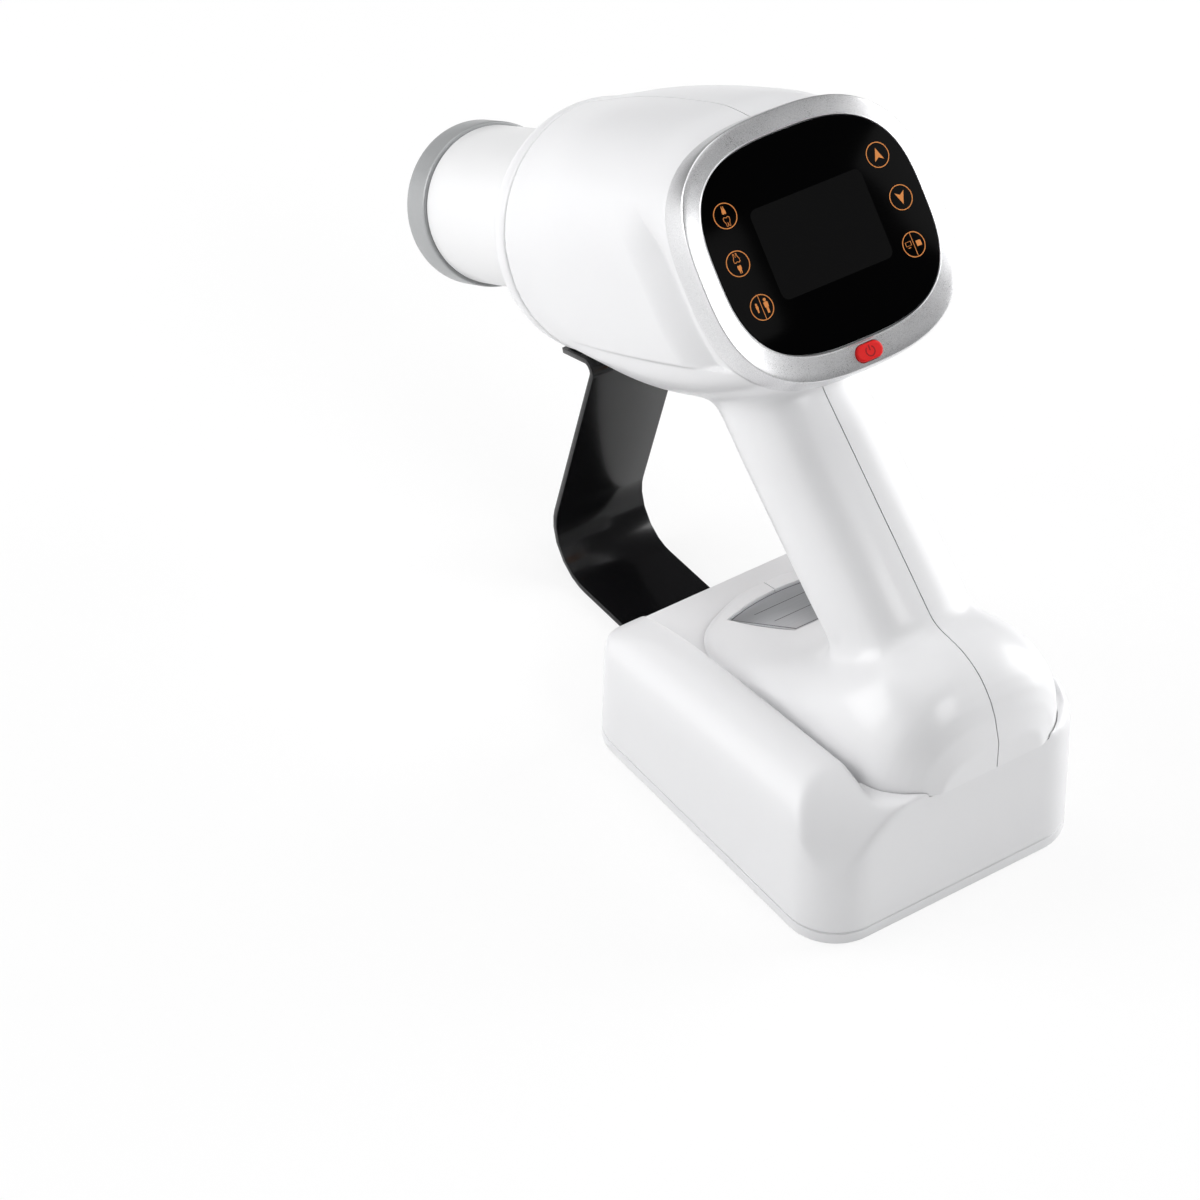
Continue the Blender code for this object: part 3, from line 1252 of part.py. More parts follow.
def make_battery():
    cx, cy = tray_centre()
    half_x = CELL_LENGTH / 2 + TRAY_WALL + GAP
    half_y = CELL_COUNT * CELL_PITCH / 2 + TRAY_WALL + GAP
    low = PLATE_THICK + GAP
    tray = box("tray", (cx - half_x, cy - half_y, low), (cx + half_x, cy + half_y, low + TRAY_HEIGHT))
    boolean(tray, box("room", (cx - half_x + TRAY_WALL, cy - half_y + TRAY_WALL, low + TRAY_WALL),
                      (cx + half_x - TRAY_WALL, cy + half_y - TRAY_WALL, low + 2 * TRAY_HEIGHT)))
    part(tray, "battery_tray", DARK)
    cells = []
    z = low + TRAY_WALL + GAP + CELL_RADIUS
    for i in range(CELL_COUNT):
        y = cy + (i - (CELL_COUNT - 1) / 2) * CELL_PITCH
        cells.append(rod("cell", CELL_RADIUS, (cx - CELL_LENGTH / 2, y, z), (cx + CELL_LENGTH / 2, y, z)))
    row(cells, "battery_cell", CELL)
    front = cy + half_y + BASE_CORNER * 0.6
    part(box("charge", (cx - CHARGE_BOARD_WIDTH / 2, front, low),
             (cx + CHARGE_BOARD_WIDTH / 2, front + CHARGE_BOARD_DEPTH * 0.6, low + BOARD_THICK)),
         "charge_board", BOARD)


def harness_deck_spot():
    return 0, -BASE_REAR * 0.2


def make_harness():
    """Wires from the charging board up through the grip to the main board."""
    hx, hy = harness_deck_spot()
    cx, cy = tray_centre()
    board_y = cy + CELL_COUNT * CELL_PITCH / 2 + TRAY_WALL + GAP + BASE_CORNER * 0.6
    low = PLATE_THICK + GAP + BOARD_THICK + 3 * GAP
    board = tank_front() + TANK_LENGTH + GAP + STANDOFF_LENGTH
    foot = Vector((hx, hy, deck_height(hy)))
    route = [
        Vector((hx, board_y + HARNESS_RADIUS * 2, low)),
        Vector((hx, board_y + HARNESS_RADIUS * 2, deck_height(board_y) * 0.62)),
        Vector((hx, hy, deck_height(hy) * 0.72)),
        foot,
        GRIP @ Vector((0, -GRIP_DEPTH_LOW * 0.2, -GRIP_LENGTH * 0.8)),
        GRIP @ Vector((0, -GRIP_DEPTH_LOW * 0.24, -GRIP_LENGTH * 0.4)),
        GRIP @ Vector((0, -GRIP_DEPTH_LOW * 0.24, 0)),
        BEAM @ Vector((0, -MAIN_BOARD_HEIGHT * 0.36, board + BOARD_THICK + 9 * HARNESS_RADIUS)),
        BEAM @ Vector((0, -MAIN_BOARD_HEIGHT * 0.34, board + BOARD_THICK + GAP)),
    ]
    curve = bpy.data.curves.new("harness", "CURVE")
    curve.dimensions = "3D"
    curve.bevel_depth = HARNESS_RADIUS
    curve.bevel_resolution = 2
    curve.use_fill_caps = True
    spline = curve.splines.new("POLY")
    smooth = smooth_route(route)
    spline.points.add(len(smooth) - 1)
    for point, place_at in zip(spline.points, smooth):
        point.co = (*place_at, 1)
    drawn = bpy.data.objects.new("harness_curve", curve)
    CUTTERS.objects.link(drawn)
    graph = bpy.context.evaluated_depsgraph_get()
    mesh = bpy.data.meshes.new_from_object(drawn.evaluated_get(graph))
    bm = bmesh.new()
    bm.from_mesh(mesh)
    bmesh.ops.remove_doubles(bm, verts=bm.verts, dist=WELD)
    bpy.data.objects.remove(drawn, do_unlink=True)
    part(add_mesh("harness", bm), "power_harness", DARK)


def smooth_route(route, steps=5):
    """Catmull-Rom curve through a route's points."""
    points = [route[0]]
    padded = [route[0]] + route + [route[-1]]
    for p0, p1, p2, p3 in zip(padded, padded[1:], padded[2:], padded[3:]):
        for i in range(1, steps + 1):
            t = i / steps
            points.append(0.5 * (2 * p1 + (p2 - p0) * t + (2 * p0 - 5 * p1 + 4 * p2 - p3) * t * t
                                 + (3 * p1 - p0 - 3 * p2 + p3) * t ** 3))
    return points


make_housing()
make_rating_plate()
make_collar()
make_cone()
make_generator()
make_display()
make_power_button()
make_trigger()
make_base()
make_strap()
make_jack()
make_battery()
make_harness()
for leftover in list(CUTTERS.objects):
    bpy.data.objects.remove(leftover, do_unlink=True)
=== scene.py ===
"""Dresses the handheld dental x-ray unit: white mouldings, silver bezel, touch panel and strap."""
import json
import math

import bmesh
import bpy
from mathutils import Matrix, Vector
from mathutils.bvhtree import BVHTree


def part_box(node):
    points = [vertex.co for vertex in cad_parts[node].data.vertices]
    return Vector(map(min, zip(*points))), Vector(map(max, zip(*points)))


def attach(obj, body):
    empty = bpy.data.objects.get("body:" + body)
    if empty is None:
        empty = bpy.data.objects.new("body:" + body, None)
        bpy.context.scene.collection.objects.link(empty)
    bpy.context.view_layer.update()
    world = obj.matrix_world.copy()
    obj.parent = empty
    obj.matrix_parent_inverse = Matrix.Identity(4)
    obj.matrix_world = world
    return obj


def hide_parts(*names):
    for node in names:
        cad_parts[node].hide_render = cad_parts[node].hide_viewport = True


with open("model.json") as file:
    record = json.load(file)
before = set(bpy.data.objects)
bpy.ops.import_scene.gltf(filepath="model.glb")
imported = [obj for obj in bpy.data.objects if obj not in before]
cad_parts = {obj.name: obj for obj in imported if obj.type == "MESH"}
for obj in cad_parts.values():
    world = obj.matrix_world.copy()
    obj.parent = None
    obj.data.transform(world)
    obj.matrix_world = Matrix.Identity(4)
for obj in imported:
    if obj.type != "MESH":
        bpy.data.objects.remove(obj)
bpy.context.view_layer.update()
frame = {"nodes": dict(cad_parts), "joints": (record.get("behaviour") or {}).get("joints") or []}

MM = 0.001
GAP = 0.3 * MM
SEAM = 0.45 * MM
OVERRUN = 4 * MM
WELD = 0.01 * MM
FINE_WELD = 0.002 * MM
UNIT = "unit"

# Beam axis, cone and head
BEAM_TILT = math.radians(26.0)
TIP_FORWARD = 270.5 * MM
TIP_HEIGHT = 110.8 * MM
CONE_REACH = 112 * MM
CONE_RADIUS = 32.7 * MM
CONE_WALL = 3 * MM
RING_RADIUS = 34.2 * MM
RING_LENGTH = 16 * MM
HEAD_RADIUS = 51 * MM
HEAD_DROP = 2.5 * MM
HEAD_LENGTH = 149.2 * MM
HEAD_WALL = 7.6 * MM
WALL = 3 * MM
COLLAR_LENGTH = 19.5 * MM
COLLAR_ROUNDING = 16.5 * MM
COLLAR_CORE = 0.7 * CONE_RADIUS
COLLAR_SEAT_RADIUS = 38.8 * MM
COLLAR_SEAT_REACH = 114.7 * MM
COLLAR_ROOM_RADIUS = 35.5 * MM
COLLAR_LIP = 3.9 * MM
COLLAR_CHAMFER = 0.6 * MM
COLLAR_FLARE = 0.9 * MM
SPIGOT_LENGTH = 6 * MM
CONE_FLANGE_RADIUS = 38.5 * MM
CONE_FLANGE_THICK = 3 * MM
CONE_ROUNDING = 0.35 * MM
RING_SEAT = 1.5 * MM
RING_LIP = 2.2 * MM
RING_CHAMFER = 1.8 * MM
RING_EASE = 0.4 * MM
RING_EASE_LENGTH = 0.9 * MM
RING_ROUNDING = 0.45 * MM

# Cheek: each side stands proud of the neck behind its crease, and of the belly below its ridge
CREASE_REACH = 121.5 * MM
CREASE_LEAN = 0.33
CREASE_BOW = 240 * MM
CREASE_BITE = 6.2 * MM
CREASE_RUN = 17 * MM
NECK_RUN = 18 * MM
CHEEK_TOP = 34 * MM
CHEEK_TOP_FADE = 24 * MM
RIDGE_DROP = 32 * MM
RIDGE_SHARPNESS = 1.6 * MM
RIDGE_START = 18 * MM
RIDGE_START_FADE = 18 * MM
BELLY_BITE = 1.9 * MM
BELLY_FADE = 24 * MM
CREASE_HOLLOW = 1.6
FACING_START = 0.2

# Display end
DISPLAY_TILT = math.radians(42.1)
DISPLAY_LIFT = 5.6 * MM
PANEL_HALF_WIDTH = 46.1 * MM
PANEL_HALF_HEIGHT = 40.4 * MM
PANEL_POWER = 2.93
BEZEL_HALF_WIDTH = 54 * MM
BEZEL_HALF_HEIGHT = 50.7 * MM
BEZEL_POWER = 2.77
BEZEL_DROP = 1.3 * MM
BEZEL_DEPTH = 14 * MM
WINDOW_WIDTH = 50 * MM
WINDOW_HEIGHT = 34.9 * MM
WINDOW_CORNER = 3 * MM
ICON_RADIUS = 4.85 * MM
ICON_LINE = 0.34 * MM
ICON_RAISE = 0.05 * MM
ICON_SINK = 0.02 * MM
TOOTH_LINE = 0.26 * MM
SCREEN_LINE = 0.24 * MM
PANEL_THICK = 2 * MM
PANEL_EDGE = 0.25 * MM
WINDOW_SINK = 0.2 * MM
WINDOW_PROUD = 0.03 * MM
BUTTON_DROP = 45.8 * MM
BUTTON_WIDTH = 11.5 * MM
BUTTON_HEIGHT = 6.5 * MM
BUTTON_PROUD = 0.9 * MM
BUTTON_SLOT_REACH = 8 * MM
SIGN_RADIUS = 2.1 * MM
SIGN_LINE = 0.48 * MM
SIGN_BAR_LOW = 0.2 * MM
SIGN_BAR_HIGH = 2.3 * MM
SIGN_OPENING = 70

# Grip and foot
GRIP_ENTRY_BEHIND = 88 * MM
GRIP_ENTRY_DROP = 36.5 * MM
GRIP_HEEL_BACK = 28.3 * MM
GRIP_HEEL_HEIGHT = 78.3 * MM
GRIP_HALF_WIDTH_TOP = 25.6 * MM
GRIP_HALF_WIDTH_LOW = 27 * MM
GRIP_DEPTH_TOP = 50 * MM
GRIP_DEPTH_LOW = 45.5 * MM
GRIP_POWER = 2.6
TRIGGER_WIDTH = 14.4 * MM
TRIGGER_LENGTH = 27 * MM
TRIGGER_INSET = 7 * MM
TRIGGER_HUB = 4.2 * MM
TRIGGER_SPARE = 2.4 * MM
TRIGGER_EDGE = 1.1 * MM
FOOT_FRONT = 66.5 * MM
FOOT_HEEL_HEIGHT = 97.5 * MM
FOOT_SKIRT = 8 * MM
HEEL_TOP_SHARE = 0.28

# Support strap and charging jack
STRAP_CENTRE = -10.5 * MM
STRAP_WIDTH = 43 * MM
STRAP_THICK = 2.4 * MM
STRAP_TOP_BEHIND = 12.05 * MM
STRAP_TOP_DROP = 48 * MM
STRAP_FLANGE = 23 * MM
STRAP_FLANGE_SLOPE = math.radians(15.7)
STRAP_EDGE = 0.5 * MM
JACK_REACH = CONE_REACH + 60 * MM
JACK_DROP = 26 * MM
JACK_RADIUS = 5.5 * MM
JACK_EDGE = 0.3 * MM

# Rating plate
RATING_WIDTH = 53 * MM
RATING_BACK_WIDTH = 26 * MM
RATING_FRONT = 58.5 * MM
RATING_LIFT = 3.2 * MM
RATING_REAR_SHARE = 0.185
RATING_REAR = 27 * MM
RATING_ARC_RISE = 5 * MM
RATING_THICK = 0.6 * MM
RATING_SEAT = 1.2 * MM
RATING_EDGE = 0.12 * MM
RATING_HEEL_SHARE = 0.48
BORDER_INSET = 0.8 * MM
BORDER_LINE = 0.35 * MM
RULE_LINE = 0.3 * MM

# Base
BASE_LEFT = 78 * MM
BASE_RIGHT = 49 * MM
BASE_REAR = 79.7 * MM
BASE_FRONT = 80.2 * MM
BASE_CORNER = 21 * MM
BASE_DRAFT = 0.016
PLATE_THICK = 6 * MM
DECK_FRONT_HEIGHT = 42 * MM
DECK_REAR_HEIGHT = 57.4 * MM
RIM_HEIGHT = 11 * MM
RIM_HEIGHT_RIGHT = 8.5 * MM
CHANNEL_LEFT = 50 * MM
CHANNEL_RIGHT = 43.5 * MM
TUB_WALL = 2.6 * MM
RIM_ROUNDING_LEFT = 25 * MM
RIM_ROUNDING_RIGHT = 5 * MM
LEFT_END_ROUNDING = 42 * MM
RIGHT_END_ROUNDING = 16 * MM
SHOULDER_TOP_SHARE = 0.75
SHOULDER_WALL_DROP = 16 * MM
SHOULDER_WALL_INSET = 22 * MM
RECUT_REACH = 20 * MM
DECK_SPARE = 2.6 * MM
PLATE_INSET = 0.2 * MM
PLATE_EDGE = 1.2 * MM
LAP_LENGTH = 32.3 * MM
LAP_DEPTH = 3.3 * MM
LAP_SCREW_RADIUS = 1.8 * MM

# Finish
SKIN_VOXEL = 0.85 * MM
FILLET_REACH = 27 * MM
FILLET_PASSES = 260
SOFTENING_PASSES = 6
TUB_PASSES = 40

# Camera and lamps: each lamp's name, place, power in watts and side in metres
CAMERA_AZIMUTH = math.radians(-34.41)
CAMERA_ELEVATION = math.radians(40.31)
CAMERA_LENS = 126.08
CAMERA_OFFSET = Vector((147.24, 106.055, 1598.265)) * MM
REAR_SHIFT = 80 * MM
LAMP_AIM = Vector((0, 80, 120)) * MM
LAMPS = (
    ("left_front", (-1.3, 1.0, 0.8), 17.5, 1.2),
    ("left", (-1.6, 0.1, 0.7), 4, 1.2),
    ("right", (1.6, -0.3, 0.7), 26, 1.2),
    ("rear_high", (0.14, -1.38, 1.3), 7.5, 0.6),
    ("front_high", (-0.2, 1.2, 1.5), 7, 1.2),
    ("top", (0.0, 0.1, 1.9), 6.8, 1.3),
)


def tilted_frame(origin, tilt):
    """Frame with its local X along +X and its local Z facing back and up by the tilt."""
    return Matrix.Translation(origin) @ Matrix.Rotation(math.pi / 2 - tilt, 4, "X")


BEAM = tilted_frame(Vector((0, TIP_FORWARD, TIP_HEIGHT)), BEAM_TILT)
DISPLAY = tilted_frame(BEAM @ Vector((0, DISPLAY_LIFT, CONE_REACH + HEAD_LENGTH)), DISPLAY_TILT)


def grip_frame():
    """Origin where the grip enters the head, local Z up along the grip, local Y to its front."""
    top = BEAM @ Vector((0, -GRIP_ENTRY_DROP, CONE_REACH + GRIP_ENTRY_BEHIND))
    heel = Vector((0, -GRIP_HEEL_BACK, GRIP_HEEL_HEIGHT))
    along = (top - heel).normalized()
    side = Vector((1, 0, 0))
    rotation = Matrix((side, along.cross(side), along)).transposed()
    return Matrix.Translation(top) @ rotation.to_4x4(), (top - heel).length


GRIP, GRIP_LENGTH = grip_frame()
DECK_LENGTH = BASE_REAR + BASE_FRONT
DECK_SLOPE = math.atan2(DECK_REAR_HEIGHT - DECK_FRONT_HEIGHT, DECK_LENGTH)
# Reach of the boxes that cut, past the whole object
FAR = 2 * DECK_LENGTH


def deck_height(y):
    return DECK_FRONT_HEIGHT + (BASE_FRONT - y) * math.tan(DECK_SLOPE)


# Shaders


class Value:
    """A shader socket that can be used in ordinary arithmetic."""

    def __init__(self, shader, socket):
        self.shader = shader
        self.socket = socket

    def _math(self, operation, first, second):
        return self.shader.node("ShaderNodeMath", {"operation": operation}, (first, second))

    def __add__(self, other):
        return self._math("ADD", self, other)

    def __radd__(self, other):
        return self._math("ADD", other, self)

    def __sub__(self, other):
        return self._math("SUBTRACT", self, other)

    def __rsub__(self, other):
        return self._math("SUBTRACT", other, self)

    def __mul__(self, other):
        return self._math("MULTIPLY", self, other)

    def __rmul__(self, other):
        return self._math("MULTIPLY", other, self)


class Shader:
    """A Principled material whose inputs are set by name and whose nodes come from one method."""

    def __init__(self, name, colour, roughness, metallic=0.0, coat=0.0, specular=0.5):
        self.material = bpy.data.materials.new(name)
        self.material.use_nodes = True
        self.tree = self.material.node_tree
        self.surface = self.tree.nodes["Principled BSDF"]
        self.set("Base Color", (*colour, 1))
        self.set("Roughness", roughness)
        self.set("Metallic", metallic)
        self.set("Coat Weight", coat)
        self.set("Coat Roughness", 0.06)
        self.set("Specular IOR Level", specular)
        self.place = self.node("ShaderNodeTexCoord", {}, (), "Object")

    def node(self, kind, settings, inputs, output=0):
        made = self.tree.nodes.new(kind)
        for key, value in settings.items():
            setattr(made, key, value)
        pairs = inputs.items() if isinstance(inputs, dict) else enumerate(inputs)
        for key, value in pairs:
            if isinstance(value, Value):
                self.tree.links.new(value.socket, made.inputs[key])
            else:
                made.inputs[key].default_value = value
        return Value(self, made.outputs[output])

    def set(self, name, value):
        if isinstance(value, Value):
            self.tree.links.new(value.socket, self.surface.inputs[name])
        else:
            self.surface.inputs[name].default_value = value

    def noise(self, scale, detail, roughness=0.5, where=None):
        inputs = {"Vector": where or self.place, "Scale": scale, "Detail": detail, "Roughness": roughness}
        return self.node("ShaderNodeTexNoise", {}, inputs, "Fac")

    def stretched(self, scale):
        return self.node("ShaderNodeMapping", {}, {"Vector": self.place, "Scale": scale})

    def share_between(self, value, low, high):
        return self.node("ShaderNodeMapRange", {}, (value, low, high))

    def mix(self, factor, low, high):
        sockets = {0: factor, 6: (*low, 1), 7: (*high, 1)}
        return self.node("ShaderNodeMix", {"data_type": "RGBA"}, sockets, 2)

    def bump(self, height, strength, distance=0.2 * MM):
        inputs = {"Height": height, "Strength": strength, "Distance": distance}
        self.set("Normal", self.node("ShaderNodeBump", {}, inputs))


def moulded(name, colour, roughness, shift, coat, grain, specular=0.5):
    """Moulded plastic: faint flow in its colour and gloss, and a fine moulded grain."""
    shader = Shader(name, colour, roughness, coat=coat, specular=specular)
    flow = shader.noise(14.0, 2.0)
    fine = shader.noise(900.0, 3.0)
    low = tuple(channel * (1 - shift) for channel in colour)
    shader.set("Base Color", shader.mix(flow, low, colour))
    shader.set("Roughness", roughness + (fine - 0.5) * 0.06 + (flow - 0.5) * 0.05)
    shader.bump(fine, grain)
    return shader.material


def silver_paint():
    """Silver metallic paint with a fine sparkle."""
    shader = Shader("silver_paint", (0.72, 0.72, 0.73), 0.3, 0.9, coat=0.2)
    flakes = shader.noise(3600.0, 2.0, 0.7)
    cloud = shader.noise(120.0, 2.0)
    spark = shader.share_between(flakes, 0.36, 0.66)
    shader.set("Base Color", shader.mix(spark, (0.62, 0.62, 0.63), (0.86, 0.86, 0.87)))
    shader.set("Roughness", 0.3 + (cloud - 0.5) * 0.06 + (flakes - 0.5) * 0.14)
    shader.bump(flakes, 0.16, 0.08 * MM)
    return shader.material


def satin_grey():
    shader = Shader("satin_grey", (0.42, 0.43, 0.435), 0.42, 0.25, coat=0.1)
    grain = shader.noise(1500.0, 3.0)
    turned = shader.noise(5.0, 2.0, where=shader.stretched((1, 1, 60)))
    shader.set("Base Color", shader.mix(grain, (0.34, 0.35, 0.355), (0.41, 0.415, 0.42)))
    shader.set("Roughness", 0.4 + (grain - 0.5) * 0.12 + (turned - 0.5) * 0.08)
    shader.bump(grain, 0.12)
    return shader.material


def black_gloss(name, colour, roughness, ripple, coat, specular):
    """Gloss black with a faint ripple under the clear coat and a little dust."""
    shader = Shader(name, colour, roughness, coat=coat, specular=specular)
    wave = shader.noise(45.0, 2.0)
    dust = shader.noise(1300.0, 4.0, 0.7)
    specks = shader.share_between(dust, 0.7, 0.82)
    raised = tuple(channel * 1.6 for channel in colour)
    shader.set("Base Color", shader.mix(specks, colour, raised))
    shader.set("Roughness", roughness + (wave - 0.5) * 0.04)
    shader.bump(wave, ripple)
    return shader.material


def brushed(name, colour, roughness, metallic=1.0, direction=(1, 40, 40)):
    """Metal with fine brush lines along one way."""
    shader = Shader(name, colour, roughness, metallic)
    lines = shader.noise(60.0, 4.0, 0.6, shader.stretched(direction))
    spots = shader.noise(300.0, 2.0)
    low = tuple(channel * 0.82 for channel in colour)
    shader.set("Base Color", shader.mix(lines, low, colour))
    shader.set("Roughness", roughness + (lines - 0.5) * 0.2 + (spots - 0.5) * 0.08)
    shader.bump(lines, 0.12)
    return shader.material


def circuit():
    """Green solder mask with copper tracks showing through."""
    shader = Shader("solder_mask", (0.02, 0.16, 0.07), 0.4, coat=0.2)
    tracks = shader.node("ShaderNodeTexBrick", {"offset": 0.5},
                         {"Vector": shader.place, "Scale": 150.0, "Mortar Size": 0.06}, "Fac")
    shader.set("Base Color", shader.mix(tracks, (0.015, 0.13, 0.05), (0.04, 0.26, 0.1)))
    shader.set("Roughness", 0.4 + tracks * 0.1)
    shader.bump(tracks, 0.2)
    return shader.material


def wrapped_cell():
    shader = Shader("cell_wrap", (0.03, 0.13, 0.38), 0.35, coat=0.3)
    bands = shader.node("ShaderNodeTexWave", {"wave_type": "BANDS", "bands_direction": "X"},
                        {"Vector": shader.place, "Scale": 60.0, "Distortion": 1.0}, "Fac")
    shader.set("Base Color", shader.mix(bands, (0.025, 0.11, 0.33), (0.04, 0.16, 0.44)))
    shader.set("Roughness", 0.3 + bands * 0.1)
    return shader.material


SHELL = moulded("gloss_white_shell", (0.82, 0.82, 0.83), 0.33, 0.012, 0.14, 0.02)
BASE_WHITE = moulded("white_base_moulding", (0.79, 0.79, 0.8), 0.38, 0.015, 0.08, 0.04)
CONE_WHITE = moulded("white_cone_tube", (0.83, 0.83, 0.835), 0.34, 0.01, 0.14, 0.02)
SILVER = silver_paint()
GREY = satin_grey()
GLASS = black_gloss("black_cover_glass", (0.0012, 0.0012, 0.0013), 0.12, 0.01, 0.0, 0.012)
WINDOW = black_gloss("dark_display_window", (0.0062, 0.0062, 0.0063), 0.2, 0.01, 0.0, 0.03)
STRAP = black_gloss("gloss_black_strap", (0.004, 0.004, 0.0045), 0.2, 0.06, 0.1, 0.3)
RED = moulded("red_button", (0.76, 0.014, 0.014), 0.42, 0.08, 0.0, 0.03, 0.18)
PALE_RED = moulded("power_mark", (0.30, 0.008, 0.01), 0.4, 0.05, 0.0, 0.02, 0.2)
ORANGE = moulded("orange_trigger", (0.84, 0.3, 0.035), 0.3, 0.06, 0.3, 0.04)
MARK = moulded("orange_touch_mark", (0.7, 0.235, 0.035), 0.6, 0.06, 0.0, 0.02)
PLATE = brushed("brushed_rating_plate", (0.67, 0.68, 0.7), 0.36, 0.7, (1, 30, 30))
PLATE_LINE = moulded("plate_printing", (0.09, 0.09, 0.1), 0.5, 0.1, 0.0, 0.02)
STEEL = brushed("plain_steel", (0.5, 0.5, 0.51), 0.35)
LEAD = brushed("dull_lead", (0.2, 0.21, 0.23), 0.6, 0.8, (8, 8, 8))
ALUMINIUM = brushed("satin_aluminium", (0.66, 0.66, 0.68), 0.4)
DARK = moulded("dark_plastic", (0.025, 0.025, 0.027), 0.45, 0.2, 0.0, 0.08)
RUBBER = moulded("black_rubber", (0.03, 0.03, 0.03), 0.75, 0.2, 0.0, 0.2)
BOARD = circuit()
CELL = wrapped_cell()

CAD_FINISHES = (
    (STEEL, ("trigger_bracket", "trigger_pin", "trigger_spring", "display_screw_", "base_screw_",
             "foot_screw_", "strap_screw_", "strap_end_screw_")),
    (LEAD, ("cone_liner",)),
    (ALUMINIUM, ("filter_window", "generator_tank")),
    (DARK, ("front_bulkhead", "buzzer", "lcd_module", "power_switch", "trigger_switch", "battery_tray",
            "power_harness")),
    (RUBBER, ("rubber_foot_",)),
    (BOARD, ("main_board", "control_board", "charge_board")),
    (CELL, ("battery_cell_",)),
)


def finish_cad_nodes():
    for finish, prefixes in CAD_FINISHES:
        for name, node in frame["nodes"].items():
            if name.startswith(prefixes):
                for index in range(len(node.data.materials)):
                    node.data.materials[index] = finish


# Mesh helpers


def linked(name, data):
    """New object in the scene that holds a mesh, curve, lamp or camera."""
    obj = bpy.data.objects.new(name, data)
    bpy.context.scene.collection.objects.link(obj)
    return obj


def new_object(name, bm):
    mesh = bpy.data.meshes.new(name)
    bm.to_mesh(mesh)
    bm.free()
    return linked(name, mesh)


def arc(x, y, radius, start, turn, steps):
    """Points on an arc round a middle, from a start angle on through a turn, both in degrees."""
    points = []
    for i in range(steps + 1):
        angle = math.radians(start + turn * i / steps)
        points.append((x + radius * math.cos(angle), y + radius * math.sin(angle)))
    return points


def circle(radius, steps=64, middle=(0, 0)):
    return arc(*middle, radius, 0, 360, steps)[:-1]


def loft(name, rings, closed=False):
    """Skin between rings of equal count, capped at both ends or closed on itself."""
    bm = bmesh.new()
    loops = [[bm.verts.new(point) for point in ring] for ring in rings]
    count = len(loops[0])
    pairs = list(zip(loops, loops[1:]))
    if closed:
        pairs.append((loops[-1], loops[0]))
    for near, far in pairs:
        for i in range(count):
            j = (i + 1) % count
            bm.faces.new((near[i], near[j], far[j], far[i]))
    if not closed:
        bm.faces.new(loops[0])
        bm.faces.new(loops[-1])
    bm.normal_update()
    bmesh.ops.recalc_face_normals(bm, faces=bm.faces)
    return new_object(name, bm)


def lathe(name, profile, place, steps=160):
    """Closed profile of (radius, height) points turned about a frame's Z."""
    rings = []
    for x, y in circle(1, steps):
        rings.append([place @ Vector((radius * x, radius * y, height)) for radius, height in profile])
    return loft(name, rings, closed=True)


def only(obj):
    """Makes one object the sole selected and active one."""
    bpy.ops.object.select_all(action="DESELECT")
    obj.select_set(True)
    bpy.context.view_layer.objects.active = obj


def apply(obj, kind, **settings):
    step = obj.modifiers.new(kind.lower(), kind)
    for key, value in settings.items():
        setattr(step, key, value)
    only(obj)
    bpy.ops.object.modifier_apply(modifier=step.name)


def bevel(obj, width, segments=2, angle=40):
    apply(obj, "BEVEL", width=width, segments=segments, limit_method="ANGLE", angle_limit=math.radians(angle))


def cut(obj, tool, operation="DIFFERENCE"):
    apply(obj, "BOOLEAN", operation=operation, solver="MANIFOLD", object=tool)
    bpy.data.objects.remove(tool, do_unlink=True)


def box(name, low, high, place=Matrix.Identity(4)):
    bpy.ops.mesh.primitive_cube_add(size=1)
    obj = bpy.context.object
    obj.name = name
    middle = (Vector(low) + Vector(high)) / 2
    span = Vector(high) - Vector(low)
    obj.data.transform(place @ Matrix.Translation(middle) @ Matrix.Diagonal((*span, 1)))
    return obj


def below(place):
    """Everything below a frame's XY plane."""
    return box("below", (-FAR, -FAR, -FAR), (FAR, FAR, 0), place)


def rod(name, radius, start, end, place=Matrix.Identity(4)):
    run = Vector(end) - Vector(start)
    bpy.ops.mesh.primitive_cylinder_add(radius=radius, depth=run.length, vertices=48)
    obj = bpy.context.object
    obj.name = name
    turn = run.to_track_quat("Z", "Y").to_matrix().to_4x4()
    obj.data.transform(place @ Matrix.Translation((Vector(start) + Vector(end)) / 2) @ turn)
    return obj


def flat(name, outline, low, high, place, holes=()):
    """Outline in a frame's XY plane, with holes in it, filled and extruded along its Z."""
    curve = bpy.data.curves.new(name, "CURVE")
    curve.dimensions = "2D"
    curve.fill_mode = "BOTH"
    curve.extrude = (high - low) / 2
    for ring in (outline, *holes):
        spline = curve.splines.new("POLY")
        spline.points.add(len(ring) - 1)
        for point, (x, y) in zip(spline.points, ring):
            point.co = (x, y, 0, 1)
        spline.use_cyclic_u = True
    only(linked(name, curve))
    bpy.ops.object.convert(target="MESH")
    obj = bpy.context.object
    weld(obj)
    obj.data.transform(place @ Matrix.Translation((0, 0, (low + high) / 2)))
    return obj


def weld(obj):
    bm = bmesh.new()
    bm.from_mesh(obj.data)
    bmesh.ops.remove_doubles(bm, verts=bm.verts, dist=WELD)
    bm.normal_update()
    bmesh.ops.recalc_face_normals(bm, faces=bm.faces)
    bm.to_mesh(obj.data)
    bm.free()


def merged(name, pieces):
    """Joins separate solids into one mesh."""
    bm = bmesh.new()
    for piece in pieces:
        bm.from_mesh(piece.data)
        bpy.data.objects.remove(piece, do_unlink=True)
    return new_object(name, bm)


def twin(obj):
    """Copy of an object with a mesh of its own."""
    made = obj.copy()
    made.data = obj.data.copy()
    return made


